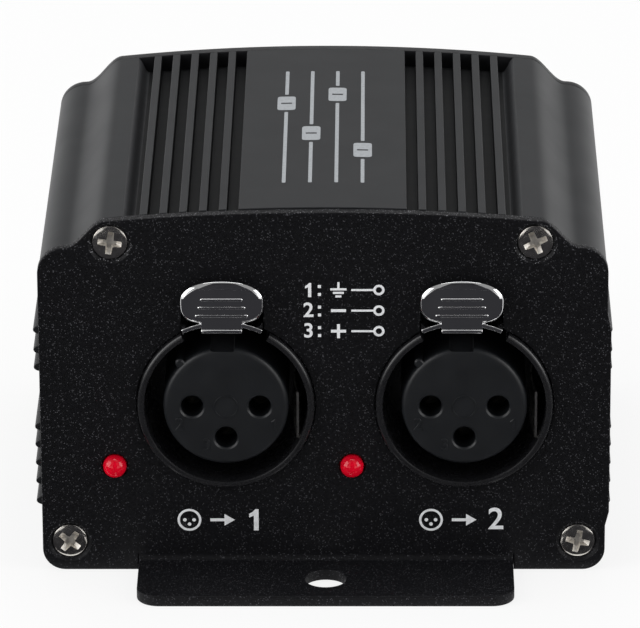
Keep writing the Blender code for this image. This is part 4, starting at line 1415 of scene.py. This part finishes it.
def legendSigns():
    # three rows: a digit, a colon, an earth, minus or plus sign, and a lead to a terminal
    left, bold, fine = signs["rowLeft"], signs["bold"], signs["fine"]
    x = left + signs["sign"]
    parts = []
    for row in range(3):
        z = signs["rowTop"] - signs["rowPitch"] * row
        parts.append(printedDigit(str(row + 1), left, z, signs["rowHeight"]))
        dot = signs["colonHalf"]
        for lift in signs["colonHeights"]:
            parts.append(printedBar(left + signs["colon"] - dot, left + signs["colon"] + dot, z + lift, dot))
        if row == 0:
            parts.append(printedBar(x - fine, x + fine, z + 0.685 * mm, 0.435 * mm))
            for k in range(3):
                half = (1.07 - 0.34 * k) * mm
                parts.append(printedBar(x - half, x + half, z + (0.1 - 0.5 * k) * mm, fine))
        else:
            parts.append(printedBar(x - mm, x + mm, z, bold))
        if row == 2:
            for lift in (-0.6 * mm, 0.6 * mm):
                parts.append(printedBar(x - bold, x + bold, z + lift, 0.4 * mm))
        parts.append(printedBar(left + signs["lead"][0], left + signs["lead"][1], z, 0.14 * mm))
        parts.append(printedRing(left + signs["terminal"], z, signs["terminalRing"], 32))
    return gathered(parts)


def socketSign(text, x):
    # a ring with three dots, an arrow out of it and the socket's number
    z = signs["labelMiddle"]
    middle = x + signs["labelRing"]
    parts = [printedRing(middle, z, signs["labelRadii"], 48)]
    for u, v in ((1, 0), (-1, 0), (0, -1)):
        spot = (middle + u * signs["dots"], z + v * signs["dots"])
        parts.append(printed(circlePoints(spot, signs["dotRadius"], 20)))
    foot, base, tip = (x + reach for reach in signs["arrow"])
    line, head = signs["arrowHalf"]
    parts.append(printedBar(foot, base, z, line))
    parts.append(printed(wound([(base, z - head), (tip, z), (base, z + head)])))
    parts.append(printedDigit(text, x + signs["labelDigit"], z, signs["labelHeight"]))
    return gathered(parts)


def makeSigns():
    show("contactLegend", legendSigns(), "whiteInk", smooth=20)
    for end, (text, x) in signs["labels"].items():
        show(f"socketSign{end}", socketSign(text, x), "whiteInk", smooth=20)


makeSigns()

# silver sign on the tube's top: a row of sliders
topSign = dict(
    pitch=3.5 * mm,
    reach=22.0 * mm,
    line=0.5 * mm,
    knob=(2.5 * mm, 5.4 * mm),
    knobCorner=0.6 * mm,
    knobGap=0.8 * mm,  # between a knob and its line
    slit=(0.5 * mm, 0.25 * mm),  # how far it ends from the knob's sides, and its half width
    knobPlaces=[9.0, -3.0, 12.5, -9.5],  # millimetres from the middle
    ink=0.02 * mm,
)


def onDome(u, v, depth):
    return (u, v, domeHeight(u) + depth)


def makeTopSign():
    edge = [(0, topSign["ink"]), (0, -0.02 * mm)]
    line, reach = topSign["line"] / 2, topSign["reach"]
    wide, tall = (size / 2 for size in topSign["knob"])
    inset, slit = topSign["slit"]
    middle = (len(topSign["knobPlaces"]) - 1) / 2
    parts = []
    for k, place in enumerate(topSign["knobPlaces"]):
        x, y = topSign["pitch"] * (k - middle), place * mm
        gap = tall + topSign["knobGap"]
        for low, high in ((-reach, y - gap), (y + gap, reach)):
            outline = rounded(wound(boxPoints(x - line, low, x + line, high)), 0.2 * mm)
            parts.append(slab([(outline, edge)], onDome))
        knob = rounded(wound(boxPoints(x - wide, y - tall, x + wide, y + tall)), topSign["knobCorner"])
        hole = wound(boxPoints(x - wide + inset, y - slit, x + wide - inset, y + slit), hole=True)
        parts.append(slab([(knob, edge), (hole, edge)], onDome))
    show("topSliderSign", gathered(parts), "silverInk", smooth=20)


makeTopSign()
print("signs printed")


def dressNodes():
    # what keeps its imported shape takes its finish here
    plain = {
        "board": ["circuit_board"],
        "nickel": ["usb_shell", "crystal"],
        "whitePlastic": ["usb_insulator"],
        "gold": [f"usb_contact_{k}" for k in range(1, 5)],
        "epoxy": ["microcontroller", "usb_bridge_chip", "line_driver_left", "line_driver_right",
                  "voltage_regulator"],
        "sleeve": ["capacitor_left", "capacitor_right"],
        "silver": [f"lamp_leg_{leg}_{side}" for leg in ("short", "long") for side in ("left", "right")],
    }
    for finish, names in plain.items():
        for name in names:
            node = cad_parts[name]
            node.data.materials.clear()
            node.data.materials.append(finishes[finish])


dressNodes()

# studio
studio = dict(
    floorHalf=4.0,
    floorDrop=0.05 * mm,
    paper=0.84,  # how far the floor is seen as white paper rather than as lit
    horizon=0.95,  # the world's brightness near the ground and overhead
    overhead=0.32,
    aim=(0, 0, 0.03),
    softboxes=dict(  # place, size and power of each
        leftSoftbox=((-0.95, -0.30, 0.55), 0.9, 5.8),
        rightSoftbox=((0.95, -0.25, 0.45), 0.7, 3.9),
        topSoftbox=((0, 0.25, 1.2), 0.8, 5.4),
    ),
    cardHalf=0.5,  # a black card lies in front
    cardEnd=-0.95,
    cardGap=1.5 * mm,  # from the front panel's face
    cardNotch=(27 * mm, 14.5 * mm),  # half width and end of its cutout round the ear
    standing=(-0.3, 0.0, 0.4, 2.4),  # another one stands beyond it: left, low, right and high
    standingPlace=-1.0,
)


def seenWhite(tree, lit):
    # what the camera, mirrors and glass see is partly plain white, and the rest keeps the shadow
    white = tree.nodes.new("ShaderNodeEmission")
    white.inputs["Color"].default_value = (1, 1, 1, 1)
    rays = tree.nodes.new("ShaderNodeLightPath")
    seen = None
    for ray in ("Is Camera Ray", "Is Glossy Ray", "Is Transmission Ray"):
        if seen is None:
            seen = rays.outputs[ray]
            continue
        node = tree.nodes.new("ShaderNodeMath")
        node.operation = "MAXIMUM"
        tree.links.new(seen, node.inputs[0])
        tree.links.new(rays.outputs[ray], node.inputs[1])
        seen = node.outputs["Value"]
    share = tree.nodes.new("ShaderNodeMath")
    share.operation = "MULTIPLY"
    share.inputs[1].default_value = studio["paper"]
    tree.links.new(seen, share.inputs[0])
    mix = tree.nodes.new("ShaderNodeMixShader")
    tree.links.new(share.outputs["Value"], mix.inputs[0])
    tree.links.new(lit, mix.inputs[1])
    tree.links.new(white.outputs["Emission"], mix.inputs[2])
    tree.links.new(mix.outputs["Shader"], tree.nodes["Material Output"].inputs["Surface"])


def addSheets(name, material, outlines):
    # flat sheets, each a list of (x, y, z) corners, in one object
    shape = bmesh.new()
    for corners in outlines:
        shape.faces.new([shape.verts.new(corner) for corner in corners])
    mesh = bpy.data.meshes.new(name)
    shape.to_mesh(mesh)
    shape.free()
    mesh.materials.append(material)
    sheets = bpy.data.objects.new(name, mesh)
    bpy.context.scene.collection.objects.link(sheets)
    return sheets


def addFloor():
    material, tree, shader = startMaterial("paleFloor", (0.96, 0.96, 0.96), 0.9, 0.0, 0.0)
    seenWhite(tree, shader.outputs["BSDF"])
    half = studio["floorHalf"]
    corners = [(x, y, -studio["floorDrop"]) for x, y in boxPoints(-half, -half, half, half)]
    addSheets("floor", material, [corners])


def addFlag():
    # black cards lying and standing in front, which only reflections see
    material, _, _ = startMaterial("blackCard", (0.035, 0.035, 0.039), 0.9, 0.0, 0.0)
    half, end, near = studio["cardHalf"], studio["cardEnd"], frontFace - studio["cardGap"]
    beside, notchEnd = studio["cardNotch"]
    ahead = frontFace - notchEnd
    outline = [(-half, end), (half, end), (half, near), (beside, near), (beside, ahead)]
    outline += [(-beside, ahead), (-beside, near), (-half, near)]
    lying = [(x, y, -studio["floorDrop"] / 2) for x, y in outline]
    standing = [(x, studio["standingPlace"], z) for x, z in boxPoints(*studio["standing"])]
    flag = addSheets("flag", material, [lying, standing])
    flag.visible_camera = False
    flag.visible_diffuse = False
    flag.visible_shadow = False
    flag.visible_transmission = False


def addSoftbox(name, place, size, power):
    data = bpy.data.lights.new(name, "AREA")
    data.shape = "RECTANGLE"
    data.size = size
    data.size_y = size
    data.energy = power
    lamp = bpy.data.objects.new(name, data)
    lamp.location = place
    lamp.rotation_euler = (Vector(studio["aim"]) - Vector(place)).to_track_quat("-Z", "Y").to_euler()
    bpy.context.scene.collection.objects.link(lamp)


def addStudio():
    addFloor()
    addFlag()
    for name, (place, size, power) in studio["softboxes"].items():
        addSoftbox(name, place, size, power)
    addWorld()
    bpy.context.scene.view_settings.view_transform = "Standard"


def addWorld():
    # bright along the horizon, like a white sweep, and dimmer overhead
    world = bpy.data.worlds.new("studio")
    world.use_nodes = True
    tree = world.node_tree
    coords = tree.nodes.new("ShaderNodeTexCoord")
    split = tree.nodes.new("ShaderNodeSeparateXYZ")
    tree.links.new(coords.outputs["Generated"], split.inputs["Vector"])
    glow = addRamp(tree, split.outputs["Z"], [(0.16, studio["horizon"]), (0.34, studio["overhead"])])
    tree.links.new(glow, tree.nodes["Background"].inputs["Color"])
    bpy.context.scene.world = world


addStudio()
print("studio lit")
